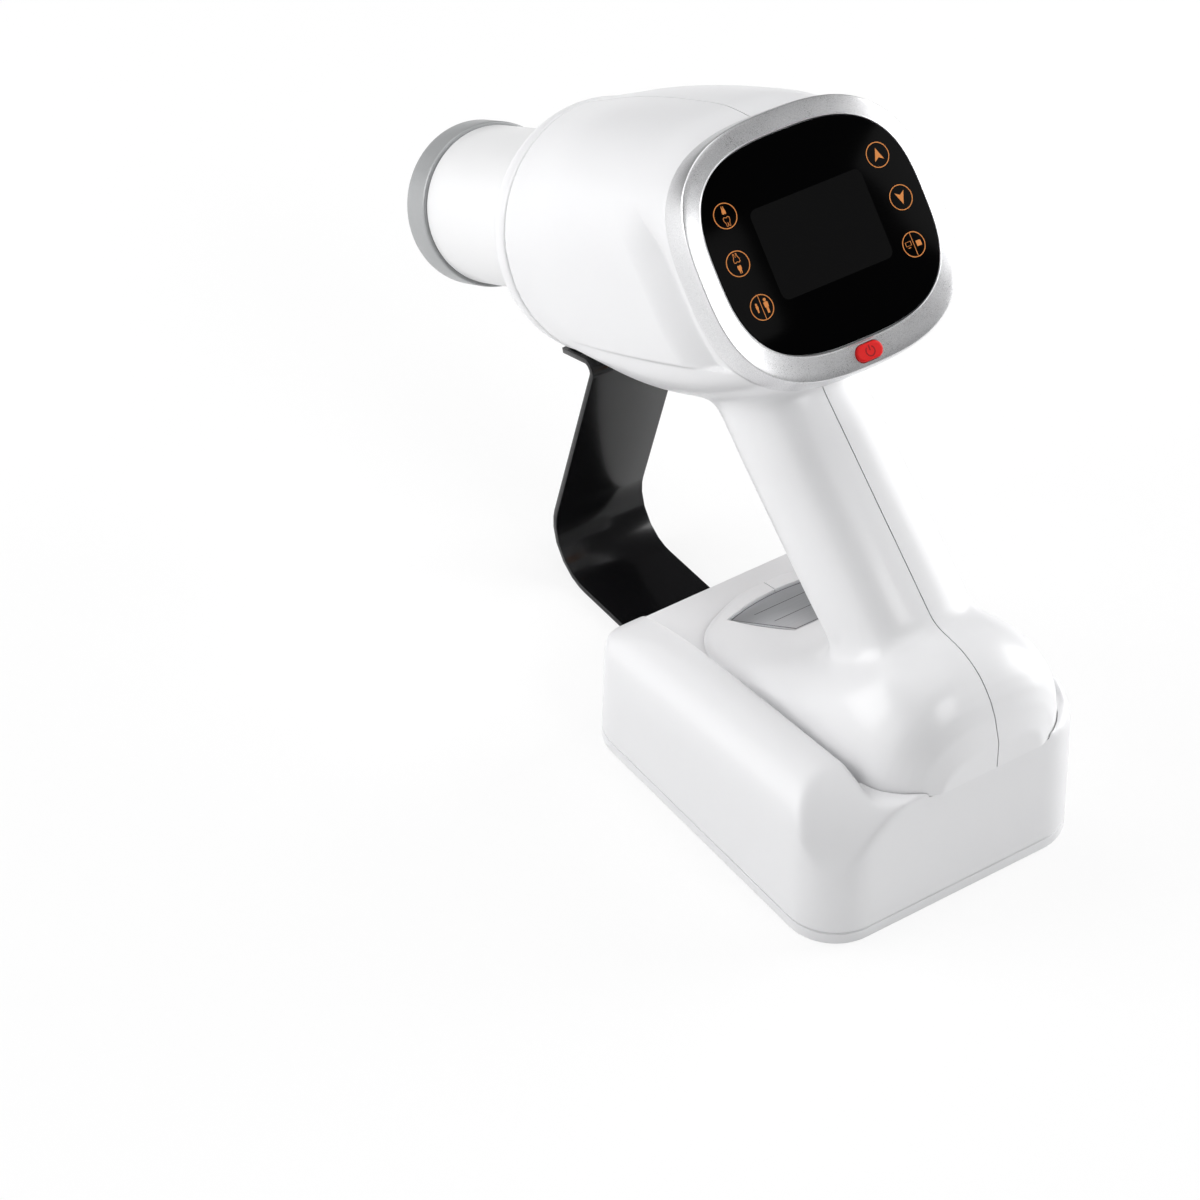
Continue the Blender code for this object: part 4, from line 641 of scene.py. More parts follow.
def node_copy(node, name):
    """Merged copy of a CAD node's mesh, its flat faces whole again."""
    obj = twin(frame["nodes"][node])
    obj.name = name
    obj.parent = None
    bpy.context.scene.collection.objects.link(obj)
    bm = bmesh.new()
    bm.from_mesh(obj.data)
    bmesh.ops.remove_doubles(bm, verts=bm.verts, dist=FINE_WELD)
    bmesh.ops.dissolve_limit(bm, angle_limit=math.radians(1), verts=bm.verts, edges=bm.edges)
    bm.to_mesh(obj.data)
    bm.free()
    return obj


def dress(obj, name, finish, replaces=(), body=UNIT, angle=35):
    """Gives a piece its finish, smooth faces and its body, and hides the nodes that it stands for."""
    obj.name = name
    obj.data.name = name
    obj.data.materials.clear()
    obj.data.materials.append(finish)
    for polygon in obj.data.polygons:
        polygon.material_index = 0
    only(obj)
    bpy.ops.object.shade_smooth_by_angle(angle=math.radians(angle))
    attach(obj, body)
    if replaces:
        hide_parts(*replaces)
    return obj


def superellipse(half_width, half_height, power, count, drop=0):
    points = []
    for c, s in circle(1, count):
        x = half_width * math.copysign(abs(c) ** (2 / power), c)
        y = half_height * math.copysign(abs(s) ** (2 / power), s) - drop
        points.append((x, y))
    return points


def rounded_rectangle(width, height, radius, steps=8):
    points = []
    for quarter, (sx, sy) in enumerate(((1, 1), (-1, 1), (-1, -1), (1, -1))):
        points += arc(sx * (width / 2 - radius), sy * (height / 2 - radius), radius, 90 * quarter, 90, steps)
    return points


def smooth_rows(rows, count):
    """Rows of numbers resampled on a smooth curve whose first column runs evenly."""
    result = []
    for step in range(count + 1):
        at = rows[0][0] + (rows[-1][0] - rows[0][0]) * step / count
        k = max(i for i in range(len(rows) - 1) if rows[i][0] <= at + 1e-9)
        here, there = rows[k], rows[k + 1]
        before = rows[max(k - 1, 0)]
        after = rows[min(k + 2, len(rows) - 1)]
        span = there[0] - here[0]
        t = (at - here[0]) / span
        row = [at]
        for column in range(1, len(here)):
            m0 = span * (there[column] - before[column]) / (there[0] - before[0])
            m1 = span * (after[column] - here[column]) / (after[0] - here[0])
            row.append((2 * t ** 3 - 3 * t ** 2 + 1) * here[column] + (t ** 3 - 2 * t ** 2 + t) * m0
                       + (3 * t ** 2 - 2 * t ** 3) * there[column] + (t ** 3 - t ** 2) * m1)
        result.append(row)
    return result


def eased(x):
    """Smooth step from 0 to 1."""
    x = min(max(x, 0.0), 1.0)
    return x * x * (3 - 2 * x)


# Housing


# Share of the way to the display, upper and lower half height, half width, roundness
HEAD_SECTION_SHARES = (
    (0.00, 1.00, 1.00, 1.00, 2.00),
    (0.13, 1.03, 1.06, 1.00, 2.15),
    (0.30, 1.065, 1.13, 1.02, 2.35),
    (0.50, 1.075, 1.16, 1.03, 2.55),
    (0.70, 1.065, 1.12, 1.04, 2.70),
    (0.86, 1.045, 1.04, 1.05, 2.80),
    (1.00, 0.975, 0.975, 1.05, 2.77),
)
# Share of the way along the foot, top above the deck, half width, roundness
FOOT_SECTION_SHARES = (
    (0.000, 0.28, 0.52, 3.2),
    (0.016, 0.48, 0.65, 3.0),
    (0.050, 0.69, 0.80, 2.8),
    (0.105, 0.87, 0.925, 2.6),
    (0.190, 0.99, 0.985, 2.5),
    (0.280, 1.00, 1.00, 2.4),
    (0.385, 0.85, 1.00, 2.4),
    (0.500, 0.56, 1.00, 2.6),
    (0.610, 0.35, 1.00, 3.2),
    (0.720, 0.19, 0.99, 4.5),
    (0.840, 0.105, 0.94, 5.5),
    (0.920, 0.085, 0.80, 6.0),
    (0.970, 0.072, 0.56, 6.0),
    (1.000, 0.060, 0.30, 6.0),
)


def head_solid(name, inset, over, sections=30, count=112):
    rim = BEAM @ Vector((0, -HEAD_DROP, CONE_REACH))
    rear = DISPLAY @ Vector((0, -BEZEL_DROP, -BEZEL_DEPTH - GAP))
    rings = []
    for share, up_share, down_share, side_share, power in smooth_rows(HEAD_SECTION_SHARES, sections):
        lean = BEAM_TILT + (DISPLAY_TILT - BEAM_TILT) * share * share
        place = tilted_frame(rim.lerp(rear, share), lean)
        ring = []
        for x, y in superellipse(1, 1, power, count):
            tall = up_share if y > 0 else down_share
            ring.append(place @ Vector((x * (HEAD_RADIUS * side_share - inset),
                                        y * (HEAD_RADIUS * tall - inset), 0)))
        rings.append(ring)
    if over:
        ahead = BEAM.to_3x3() @ Vector((0, 0, -over))
        behind = DISPLAY.to_3x3() @ Vector((0, 0, over))
        rings[0] = [point + ahead for point in rings[0]]
        rings[-1] = [point + behind for point in rings[-1]]
    return loft(name, rings)


def grip_solid(name, inset, count=64, sections=8):
    rings = []
    for step in range(sections + 1):
        share = step / sections
        half_width = GRIP_HALF_WIDTH_TOP + share * (GRIP_HALF_WIDTH_LOW - GRIP_HALF_WIDTH_TOP) - inset
        half_depth = (GRIP_DEPTH_TOP + share * (GRIP_DEPTH_LOW - GRIP_DEPTH_TOP)) / 2 - inset
        ring = superellipse(half_width, half_depth, GRIP_POWER, count)
        rings.append([GRIP @ Vector((x, y, -share * GRIP_LENGTH)) for x, y in ring])
    return loft(name, rings)


def foot_solid(name, inset, sections=44, count=40):
    middle = (CHANNEL_RIGHT - CHANNEL_LEFT) / 2
    half = (CHANNEL_RIGHT + CHANNEL_LEFT) / 2 - 2 * GAP
    start = -BASE_REAR - GAP * 2
    heel_rise = FOOT_HEEL_HEIGHT - deck_height(start + HEEL_TOP_SHARE * (FOOT_FRONT - start))
    rings = []
    for along, tall, wide, power in smooth_rows(FOOT_SECTION_SHARES, sections):
        y = start + along * (FOOT_FRONT - start)
        y += inset * (1 - 2 * along)
        low = deck_height(y) - FOOT_SKIRT
        rise = FOOT_SKIRT + tall * heel_rise - inset
        ring = []
        for c, s in arc(0, 0, 1, 0, 180, count):
            x = (half * wide - inset) * math.copysign(abs(c) ** (2 / power), c)
            lift = max(s, 0) ** (2 / power)
            ring.append(Vector((middle * (1 - lift) + x, y, low + rise * lift)))
        rings.append(ring)
    return loft(name, rings)


def cheek_bite(local):
    """How far a point of the head's side, in the beam's frame, lies in behind the cheek's face."""
    reach = local.z - CONE_REACH
    below = eased((-RIDGE_DROP - local.y) / RIDGE_SHARPNESS)
    crease = CREASE_REACH - CREASE_LEAN * local.y - local.y ** 2 / CREASE_BOW
    if reach < crease:
        across = max(1 - (crease - reach) / CREASE_RUN, 0) ** CREASE_HOLLOW
    else:
        across = max(1 - (reach - crease) / NECK_RUN, 0)
    fade = eased((CHEEK_TOP - local.y) / CHEEK_TOP_FADE)
    bite = CREASE_BITE * across * fade * (1 - below)
    belly = BELLY_BITE * below * (1 - eased((-RIDGE_DROP - local.y) / BELLY_FADE))
    belly *= eased((reach - RIDGE_START) / RIDGE_START_FADE)
    return bite + belly


def press_in_cheeks(obj):
    to_beam = BEAM.inverted()
    turn = to_beam.to_3x3()
    shifts = []
    for vertex in obj.data.vertices:
        local = to_beam @ vertex.co
        bite = 0
        if local.z > CONE_REACH and abs(local.y) < 1.3 * HEAD_RADIUS:
            facing = turn @ vertex.normal
            bite = cheek_bite(local) * max(abs(facing.x) - FACING_START, 0) / (1 - FACING_START)
        shifts.append(math.copysign(bite, -vertex.co.x))
    for vertex, shift in zip(obj.data.vertices, shifts):
        vertex.co.x += shift


def soften_joints(obj, solids):
    """Rounds the valleys where two solids of a body run into each other."""
    trees = []
    for solid in solids:
        trees.append(BVHTree.FromPolygons([v.co for v in solid.data.vertices],
                                          [p.vertices for p in solid.data.polygons]))
    group = obj.vertex_groups.new(name="fillet")
    for vertex in obj.data.vertices:
        distances = sorted((tree.find_nearest(vertex.co, 2 * FILLET_REACH)[3] or FAR) for tree in trees)
        weight = eased(1 - distances[1] / FILLET_REACH)
        if weight > 0:
            group.add([vertex.index], weight, "REPLACE")
    apply(obj, "SMOOTH", factor=0.5, iterations=FILLET_PASSES, vertex_group="fillet")
    obj.vertex_groups.clear()


def deck_frame(lift=0):
    origin = Matrix.Translation((0, BASE_FRONT, DECK_FRONT_HEIGHT + lift))
    return origin @ Matrix.Rotation(-DECK_SLOPE, 4, "X")


def strap_notch(grow=0):
    bend = BEAM @ Vector((0, -STRAP_TOP_DROP, CONE_REACH + STRAP_TOP_BEHIND))
    place = Matrix.Translation(bend) @ Matrix.Rotation(-STRAP_FLANGE_SLOPE, 4, "X")
    half = STRAP_WIDTH / 2 + 2 * GAP + grow
    low = (STRAP_CENTRE - half, -STRAP_THICK * 1.5 - grow, -HEAD_RADIUS / 2)
    high = (STRAP_CENTRE + half, STRAP_FLANGE + STRAP_THICK / 2 + grow, STRAP_THICK / 2 + GAP + grow)
    return box("notch", low, high, place)


def make_housing():
    head = head_solid("head", 0, 0)
    grip = grip_solid("grip", 0)
    foot = foot_solid("foot", 0)
    sources = [twin(solid) for solid in (head, grip, foot)]
    skin = merged("skin", [head, grip, foot])
    apply(skin, "REMESH", mode="VOXEL", voxel_size=SKIN_VOXEL)
    soften_joints(skin, sources)
    for solid in sources:
        bpy.data.objects.remove(solid, do_unlink=True)
    apply(skin, "SMOOTH", factor=0.5, iterations=SOFTENING_PASSES)
    press_in_cheeks(skin)
    apply(skin, "SMOOTH", factor=0.5, iterations=2)

    cut(skin, below(deck_frame(GAP)))
    cut(skin, strap_notch())
    cut(skin, below(BEAM @ Matrix.Translation((0, 0, CONE_REACH))))
    rear = DISPLAY @ Matrix.Translation((0, 0, -BEZEL_DEPTH - GAP))
    reach = FAR / 8
    cut(skin, box("behind", (-reach, -reach, 0), (reach, reach, reach), rear))

    for inner in (head_solid("hollow", HEAD_WALL, OVERRUN, 12, 48), grip_solid("hollow", WALL, 40, 4)):
        cut(skin, inner)
    foot_room = foot_solid("hollow", WALL, 20, 24)
    cut(foot_room, below(deck_frame(GAP + WALL)))
    cut(skin, foot_room)
    pin = GRIP.copy()
    pin.translation = next(joint["pos_m"] for joint in frame["joints"] if joint["name"] == "trigger_pull")
    half = TRIGGER_WIDTH / 2 + GAP
    cut(skin, box("slot", (-half, -2 * TRIGGER_HUB, -TRIGGER_LENGTH - TRIGGER_SPARE),
                  (half, TRIGGER_INSET + WALL, TRIGGER_HUB + GAP), pin))
    cut(skin, rating_slab("recess", RATING_THICK * 12, GAP))

    right = twin(skin)
    bpy.context.scene.collection.objects.link(right)
    cut(skin, box("side", (-SEAM / 2, -FAR, -FAR), (FAR, FAR, FAR)))
    cut(right, box("side", (-FAR, -FAR, -FAR), (SEAM / 2, FAR, FAR)))
    port = BEAM @ Matrix.Translation((0, -JACK_DROP, JACK_REACH))
    cut(right, rod("port", JACK_RADIUS + GAP, (HEAD_RADIUS * 0.7, 0, 0), (HEAD_RADIUS * 1.2, 0, 0), port))
    dress(skin, "shell_left", SHELL, ["housing_left"])
    dress(right, "shell_right", SHELL, ["housing_right"])


# Rating plate


def rating_frame():
    front_top = Vector((0, RATING_FRONT, deck_height(RATING_FRONT) + RATING_LIFT))
    heel_rise = FOOT_HEEL_HEIGHT - deck_height(-BASE_REAR * RATING_HEEL_SHARE)
    rear_top = Vector((0, RATING_REAR, deck_height(RATING_REAR) + RATING_REAR_SHARE * heel_rise))
    slope = math.atan2(rear_top.z - front_top.z, RATING_FRONT - RATING_REAR)
    return Matrix.Translation(front_top) @ Matrix.Rotation(-slope, 4, "X")


def rating_outline(grow, steps=24):
    run = RATING_FRONT - RATING_REAR
    half = RATING_WIDTH / 2 + grow
    back = RATING_BACK_WIDTH / 2 + grow
    points = []
    for i in range(steps + 1):
        x = half * (1 - 2 * i / steps)
        points.append((x, -RATING_ARC_RISE * (x / half) ** 2 + grow))
    return points + [(-back, -run - grow), (back, -run - grow)]


def rating_slab(name, thick, grow):
    return flat(name, rating_outline(grow), -RATING_SEAT - grow, thick - RATING_SEAT, rating_frame())


def make_rating_plate():
    plate = rating_slab("plate", RATING_THICK, 0)
    bevel(plate, RATING_EDGE)
    dress(plate, "rating_plate_face", PLATE, ["rating_plate"])
    top = RATING_THICK - RATING_SEAT
    low = top - ICON_SINK
    high = top + ICON_RAISE
    rules = [flat("border", rating_outline(-BORDER_INSET), low, high, rating_frame(),
                  (rating_outline(-BORDER_INSET - BORDER_LINE),))]
    for share in (0.3, 0.62):
        y = -share * (RATING_FRONT - RATING_REAR)
        reach = 0.36 * RATING_WIDTH * (1 - 0.4 * share)
        rules.append(box("rule", (-reach, y, low), (reach, y + RULE_LINE, high), rating_frame()))
    dress(merged("rules", rules), "rating_plate_rules", PLATE_LINE)


# Cone and collar


def rounded_profile(corners, radius, steps=4):
    """Closed profile with each corner rounded."""
    points = []
    count = len(corners)
    for i in range(count):
        before = Vector(corners[i - 1])
        corner = Vector(corners[i])
        after = Vector(corners[(i + 1) % count])
        a = before - corner
        b = after - corner
        reach = min(radius, a.length * 0.45, b.length * 0.45)
        start = corner + a.normalized() * reach
        end = corner + b.normalized() * reach
        for step in range(steps + 1):
            t = step / steps
            points.append(tuple(start * (1 - t) ** 2 + corner * 2 * t * (1 - t) + end * t ** 2))
    return points


def make_collar():
    rear = CONE_REACH - GAP
    front = CONE_REACH - COLLAR_LENGTH
    inner = HEAD_RADIUS - HEAD_WALL - GAP
    outer = [(HEAD_RADIUS - 2 * SEAM, rear), (HEAD_RADIUS - SEAM, rear - SEAM / 2),
             (HEAD_RADIUS, rear - 2 * SEAM)]
    outer += arc(HEAD_RADIUS - COLLAR_ROUNDING, front + COLLAR_ROUNDING, COLLAR_ROUNDING, 0, -90, 14)
    profile = outer + [(COLLAR_CORE, front), (COLLAR_CORE, CONE_REACH + SPIGOT_LENGTH),
                       (inner, CONE_REACH + SPIGOT_LENGTH), (inner, rear)]
    collar = lathe("collar", profile, BEAM @ Matrix.Translation((0, -HEAD_DROP, 0)))
    core = COLLAR_CORE / 2
    far = CONE_REACH + 3 * SPIGOT_LENGTH
    lip = CONE_RADIUS + GAP
    flare = CONE_RADIUS + COLLAR_FLARE
    bore = ((COLLAR_SEAT_RADIUS, far), (COLLAR_SEAT_RADIUS, COLLAR_SEAT_REACH),
            (COLLAR_ROOM_RADIUS, COLLAR_SEAT_REACH), (COLLAR_ROOM_RADIUS, front + COLLAR_LIP),
            (lip, front + COLLAR_LIP), (lip, front + COLLAR_CHAMFER), (flare, front - GAP),
            (flare, front - WALL), (core, front - WALL), (core, far))
    cut(collar, lathe("bore", bore, BEAM))
    cut(collar, strap_notch(GAP))
    dress(collar, "nose_collar_skin", SHELL, ["nose_collar"])


def make_cone():
    rear = CONE_REACH + SPIGOT_LENGTH
    inner = CONE_RADIUS - CONE_WALL
    seat = CONE_RADIUS - RING_SEAT
    tube = rounded_profile([(CONE_FLANGE_RADIUS, rear), (CONE_FLANGE_RADIUS, rear - CONE_FLANGE_THICK),
                            (CONE_RADIUS, rear - CONE_FLANGE_THICK), (CONE_RADIUS, RING_LENGTH + GAP),
                            (seat, RING_LENGTH + GAP), (seat, RING_LIP + GAP), (inner, RING_LIP + GAP),
                            (inner, rear)], CONE_ROUNDING)
    dress(lathe("tube", tube, BEAM), "cone_tube_skin", CONE_WHITE, ["cone_tube"])
    ring = rounded_profile([(RING_RADIUS - RING_EASE, RING_LENGTH),
                            (RING_RADIUS, RING_LENGTH - RING_EASE_LENGTH), (RING_RADIUS, RING_CHAMFER),
                            (RING_RADIUS - RING_CHAMFER, 0), (inner, 0), (inner, RING_LIP),
                            (seat + GAP, RING_LIP), (seat + GAP, RING_LENGTH)], RING_ROUNDING)
    dress(lathe("ring", ring, BEAM), "cone_ring_skin", GREY, ["cone_end_ring"])


# Display


# Share of the way from the panel's edge to the bezel's widest outline, and depth as a share
BEZEL_SECTION_SHARES = (
    (0.030, 0.040), (0.034, 0.006), (0.048, -0.018), (0.066, -0.026), (0.084, -0.022), (0.096, -0.006),
    (0.106, 0.004), (0.300, 0.018), (0.600, 0.044), (0.862, 0.068), (0.884, 0.074), (0.902, 0.088),
    (0.916, 0.110), (0.926, 0.140), (0.952, 0.280), (0.976, 0.450), (0.993, 0.640), (1.000, 0.780),
    (0.999, 0.880), (0.990, 0.955), (0.962, 1.000), (0.800, 1.000), (0.790, 0.640), (0.660, 0.440),
    (0.350, 0.300), (-0.100, 0.290), (-0.100, 0.170), (0.030, 0.170),
)


def display_ring(share, depth, count):
    half_width = PANEL_HALF_WIDTH + share * (BEZEL_HALF_WIDTH - PANEL_HALF_WIDTH)
    half_height = PANEL_HALF_HEIGHT + share * (BEZEL_HALF_HEIGHT - PANEL_HALF_HEIGHT)
    power = PANEL_POWER + share * (BEZEL_POWER - PANEL_POWER)
    ring = superellipse(half_width, half_height, power, count, share * BEZEL_DROP)
    return [DISPLAY @ Vector((x, y, -depth)) for x, y in ring]


def stadium(width, height, count=16):
    radius = height / 2
    reach = width / 2 - radius
    return arc(reach, 0, radius, -90, 180, count) + arc(-reach, 0, radius, 90, 180, count)


def make_bezel():
    rings = [display_ring(share, depth * BEZEL_DEPTH, 240) for share, depth in BEZEL_SECTION_SHARES]
    bezel = loft("bezel", rings, closed=True)
    place = DISPLAY @ Matrix.Translation((0, -BUTTON_DROP, 0))
    cut(bezel, flat("slot", stadium(BUTTON_WIDTH + 2 * GAP, BUTTON_HEIGHT + 2 * GAP), -BUTTON_SLOT_REACH,
                    BUTTON_SLOT_REACH, place))
    dress(bezel, "bezel_skin", SILVER, ["display_bezel"], angle=40)


def make_panel():
    outline = superellipse(PANEL_HALF_WIDTH, PANEL_HALF_HEIGHT, PANEL_POWER, 240)
    panel = flat("panel", outline, -PANEL_THICK, 0, DISPLAY)
    bevel(panel, PANEL_EDGE)
    dress(panel, "panel_glass", GLASS, ["display_panel"])
    window = flat("window", rounded_rectangle(WINDOW_WIDTH, WINDOW_HEIGHT, WINDOW_CORNER), -WINDOW_SINK,
                  WINDOW_PROUD, DISPLAY)
    dress(window, "panel_window", WINDOW)


def scaled(outline, size, middle=(0, 0)):
    return [(middle[0] + x * size, middle[1] + y * size) for x, y in outline]


# Outlines in shares of a touch mark's radius
ARROW_SHARES = ((0, 0.55), (0.42, -0.45), (0, -0.2), (-0.42, -0.45))
TOOTH_SHARES = ((-0.3, 0.3), (-0.16, 0.38), (0, 0.3), (0.16, 0.38), (0.3, 0.3), (0.3, 0.06), (0.2, -0.14),
                (0.18, -0.4), (0.08, -0.42), (0.03, -0.14), (-0.03, -0.14), (-0.08, -0.42), (-0.18, -0.4),
                (-0.2, -0.14), (-0.3, 0.06))
BODY_SHARES = ((-0.12, 0.34), (0.12, 0.34), (0.2, 0.26), (0.18, -0.12), (0.11, -0.12), (0.1, -0.6),
               (0.01, -0.6), (-0.01, -0.6), (-0.1, -0.6), (-0.11, -0.12), (-0.18, -0.12), (-0.2, 0.26))
SCREEN_SHARES = ((-0.26, 0.2), (0.26, 0.2), (0.26, -0.14), (-0.26, -0.14))
DISK_SHARES = ((-0.22, 0.22), (0.14, 0.22), (0.22, 0.14), (0.22, -0.22), (-0.22, -0.22))


def mark_plate(outline, place, holes=()):
    return flat("glyph", outline, -ICON_SINK, ICON_RAISE, place, holes)


def ring_mark(place):
    return mark_plate(circle(ICON_RADIUS), place, (circle(ICON_RADIUS - ICON_LINE),))


def frame_mark(outline, place, width):
    """Thin frame that follows an outline."""
    middle = Vector((sum(x for x, y in outline), sum(y for x, y in outline))) / len(outline)
    inner = []
    for x, y in outline:
        arm = Vector((x, y)) - middle
        inner.append(tuple(middle + arm * (1 - width / arm.length)))
    return mark_plate(outline, place, (inner,))


def arrow_glyph(place, turn):
    flipped = [(x, y * turn) for x, y in ARROW_SHARES]
    return [mark_plate(scaled(flipped if turn > 0 else flipped[::-1], ICON_RADIUS), place)]


def tooth_glyph(place, flip):
    middle = flip * 0.42 * ICON_RADIUS
    upper = scaled([(x, y * flip) for x, y in TOOTH_SHARES], ICON_RADIUS * 0.95, (0, -middle))
    lower = scaled([(x * 0.7, -y * flip) for x, y in TOOTH_SHARES], ICON_RADIUS * 0.8, (0, middle))
    return [frame_mark(upper, place, TOOTH_LINE), mark_plate(lower, place)]


def divider(place):
    reach = ICON_RADIUS - ICON_LINE / 2
    return box("glyph", (-ICON_LINE / 3, -reach, -ICON_SINK), (ICON_LINE / 3, reach, ICON_RAISE), place)


def people_glyph(place):
    tall = ICON_RADIUS * 0.95
    grown = scaled(BODY_SHARES, tall, (0.42 * ICON_RADIUS, 0))
    child = scaled(BODY_SHARES, tall * 0.62, (-0.4 * ICON_RADIUS, 0.05 * ICON_RADIUS))
    return [divider(place), mark_plate(grown, place), mark_plate(child, place),
            mark_plate(circle(0.13 * tall, 20, (0.42 * ICON_RADIUS, 0.5 * tall)), place),
            mark_plate(circle(0.1 * tall, 20, (-0.4 * ICON_RADIUS, 0.36 * tall)), place)]


def memory_glyph(place):
    screen = scaled(SCREEN_SHARES, ICON_RADIUS, (-0.44 * ICON_RADIUS, 0.14 * ICON_RADIUS))
    stand = scaled(((-0.12, 0.03), (0.12, 0.03), (0.12, -0.03), (-0.12, -0.03)), ICON_RADIUS,
                   (-0.44 * ICON_RADIUS, -0.14 * ICON_RADIUS))
    disk = scaled(DISK_SHARES, ICON_RADIUS, (0.46 * ICON_RADIUS, -0.02 * ICON_RADIUS))
    return [divider(place), frame_mark(screen, place, SCREEN_LINE), mark_plate(stand, place),
            mark_plate(disk, place)]


# How far each row of touch marks lies to the side of the display's middle, and above it
MARK_ROWS = ((34.3 * MM, 19.1 * MM), (36.8 * MM, 1.5 * MM), (34.4 * MM, -16.2 * MM))
# Name of each touch mark, its side, its row and its sign
TOUCH_MARKS = (
    ("tooth_upper", -1, 0, lambda place: tooth_glyph(place, 1)),
    ("tooth_lower", -1, 1, lambda place: tooth_glyph(place, -1)),
    ("patient_size", -1, 2, people_glyph),
    ("arrow_up", 1, 0, lambda place: arrow_glyph(place, 1)),
    ("arrow_down", 1, 1, lambda place: arrow_glyph(place, -1)),
    ("memory", 1, 2, memory_glyph),
)


def make_touch_marks():
    for name, side, row, glyph in TOUCH_MARKS:
        aside, above = MARK_ROWS[row]
        place = DISPLAY @ Matrix.Translation((side * aside, above, 0))
        mark = merged("mark", [ring_mark(place), *glyph(place)])
        dress(mark, "mark_" + name, MARK)


# How far each section of the power button lies inside its outline and below its top, in millimetres
BUTTON_SECTIONS = (
    (-1.2, 6.65), (-1.2, 5.6), (0, 5.6), (0, 0.9), (0.05, 0.5), (0.25, 0.18), (0.6, 0.02), (1.2, 0), (2.2, 0),
)


def make_power_button():
    place = DISPLAY @ Matrix.Translation((0, -BUTTON_DROP, 0))
    rings = []
    for inset, drop in BUTTON_SECTIONS:
        outline = stadium(BUTTON_WIDTH - 2 * inset * MM, BUTTON_HEIGHT - 2 * inset * MM)
        rings.append([place @ Vector((x, y, BUTTON_PROUD - drop * MM)) for x, y in outline])
    dress(loft("cap", rings), "power_button_cap", RED, ["power_button"], "power_button", 50)
    low = BUTTON_PROUD - ICON_RAISE
    high = BUTTON_PROUD + ICON_RAISE
    bar = box("bar", (-SIGN_LINE / 2, SIGN_BAR_LOW, low), (SIGN_LINE / 2, SIGN_BAR_HIGH, high), place)
    start = 90 + SIGN_OPENING / 2
    outer = arc(0, 0, SIGN_RADIUS, start, 360 - SIGN_OPENING, 32)
    inner = arc(0, 0, SIGN_RADIUS - SIGN_LINE, start, 360 - SIGN_OPENING, 32)
    ring = flat("ring", outer + inner[::-1], low, high, place)
    dress(merged("sign", [bar, ring]), "power_button_mark", PALE_RED, body="power_button")


# Trigger, strap, jack


def bevelled_copy(node, name, finish, body, width, segments=3):
    obj = node_copy(node, name)
    bevel(obj, width, segments, 30)
    dress(obj, name, finish, [node], body, 40)


def make_small_parts():
    bevelled_copy("trigger", "trigger_lever", ORANGE, "trigger", TRIGGER_EDGE)
    bevelled_copy("support_strap", "strap_band", STRAP, UNIT, STRAP_EDGE)
    bevelled_copy("charge_jack", "charge_socket", DARK, UNIT, JACK_EDGE, 2)


# Base


def plan(inset, height, corner_steps=16):
    """Plan outline of the base at a height, moved inwards by an inset."""
    draft = 2 * (BASE_DRAFT * height + inset)
    across = (BASE_RIGHT - BASE_LEFT) / 2
    along = (BASE_FRONT - BASE_REAR) / 2
    outline = rounded_rectangle(BASE_LEFT + BASE_RIGHT - draft, DECK_LENGTH - draft, BASE_CORNER - inset,
                                corner_steps)
    return [Vector((across + x, along + y, height)) for x, y in outline]


def rim_solid(steps=14):
    """Everything below the tops of the two rims, as if the channel between them were filled."""
    deep = DECK_REAR_HEIGHT * 1.5
    outline = [(CHANNEL_RIGHT - OVERRUN, RIM_HEIGHT_RIGHT), (-CHANNEL_LEFT + OVERRUN, RIM_HEIGHT)]
    outline += arc(RIM_ROUNDING_LEFT + 2 * GAP - BASE_LEFT, RIM_HEIGHT - RIM_ROUNDING_LEFT,
                   RIM_ROUNDING_LEFT, 90, 90, steps)
    outline += [(-BASE_LEFT * 1.2, -deep), (BASE_RIGHT * 1.2, -deep)]
    outline += arc(BASE_RIGHT - 2 * GAP - RIM_ROUNDING_RIGHT, RIM_HEIGHT_RIGHT - RIM_ROUNDING_RIGHT,
                   RIM_ROUNDING_RIGHT, 0, 90, steps)
    turn = Matrix.Rotation(math.pi / 2, 4, "X")
    return flat("rims", outline, -DECK_LENGTH, 2 * DECK_LENGTH, deck_frame() @ turn)


# Share of the way from rear to front, and the rims' height there as a share of the left one's
RIM_ARCH_SHARES = (
    (0.000, 1.12), (0.150, 1.12), (0.250, 1.09), (0.360, 1.04), (0.498, 1.00), (0.748, 0.92),
    (0.880, 0.72), (0.960, 0.45), (0.988, 0.20), (1.000, -0.10),
)


def end_solid(steps=60):
    """Side outline of the tub: rims that arch down towards the front."""
    outline = []
    for along, rise in smooth_rows(RIM_ARCH_SHARES, steps):
        y = -BASE_REAR + along * DECK_LENGTH
        outline.append((y, deck_height(y) + rise * RIM_HEIGHT))
    outline += [(BASE_FRONT + WALL, outline[-1][1]), (BASE_FRONT + WALL, -WALL), (-BASE_REAR - WALL, -WALL),
                (-BASE_REAR - WALL, outline[0][1])]
    side = Matrix(((0, 0, 1, 0), (1, 0, 0, 0), (0, 1, 0, 0), (0, 0, 0, 1)))
    return flat("ends", outline, -2 * BASE_LEFT, 2 * BASE_LEFT, side)


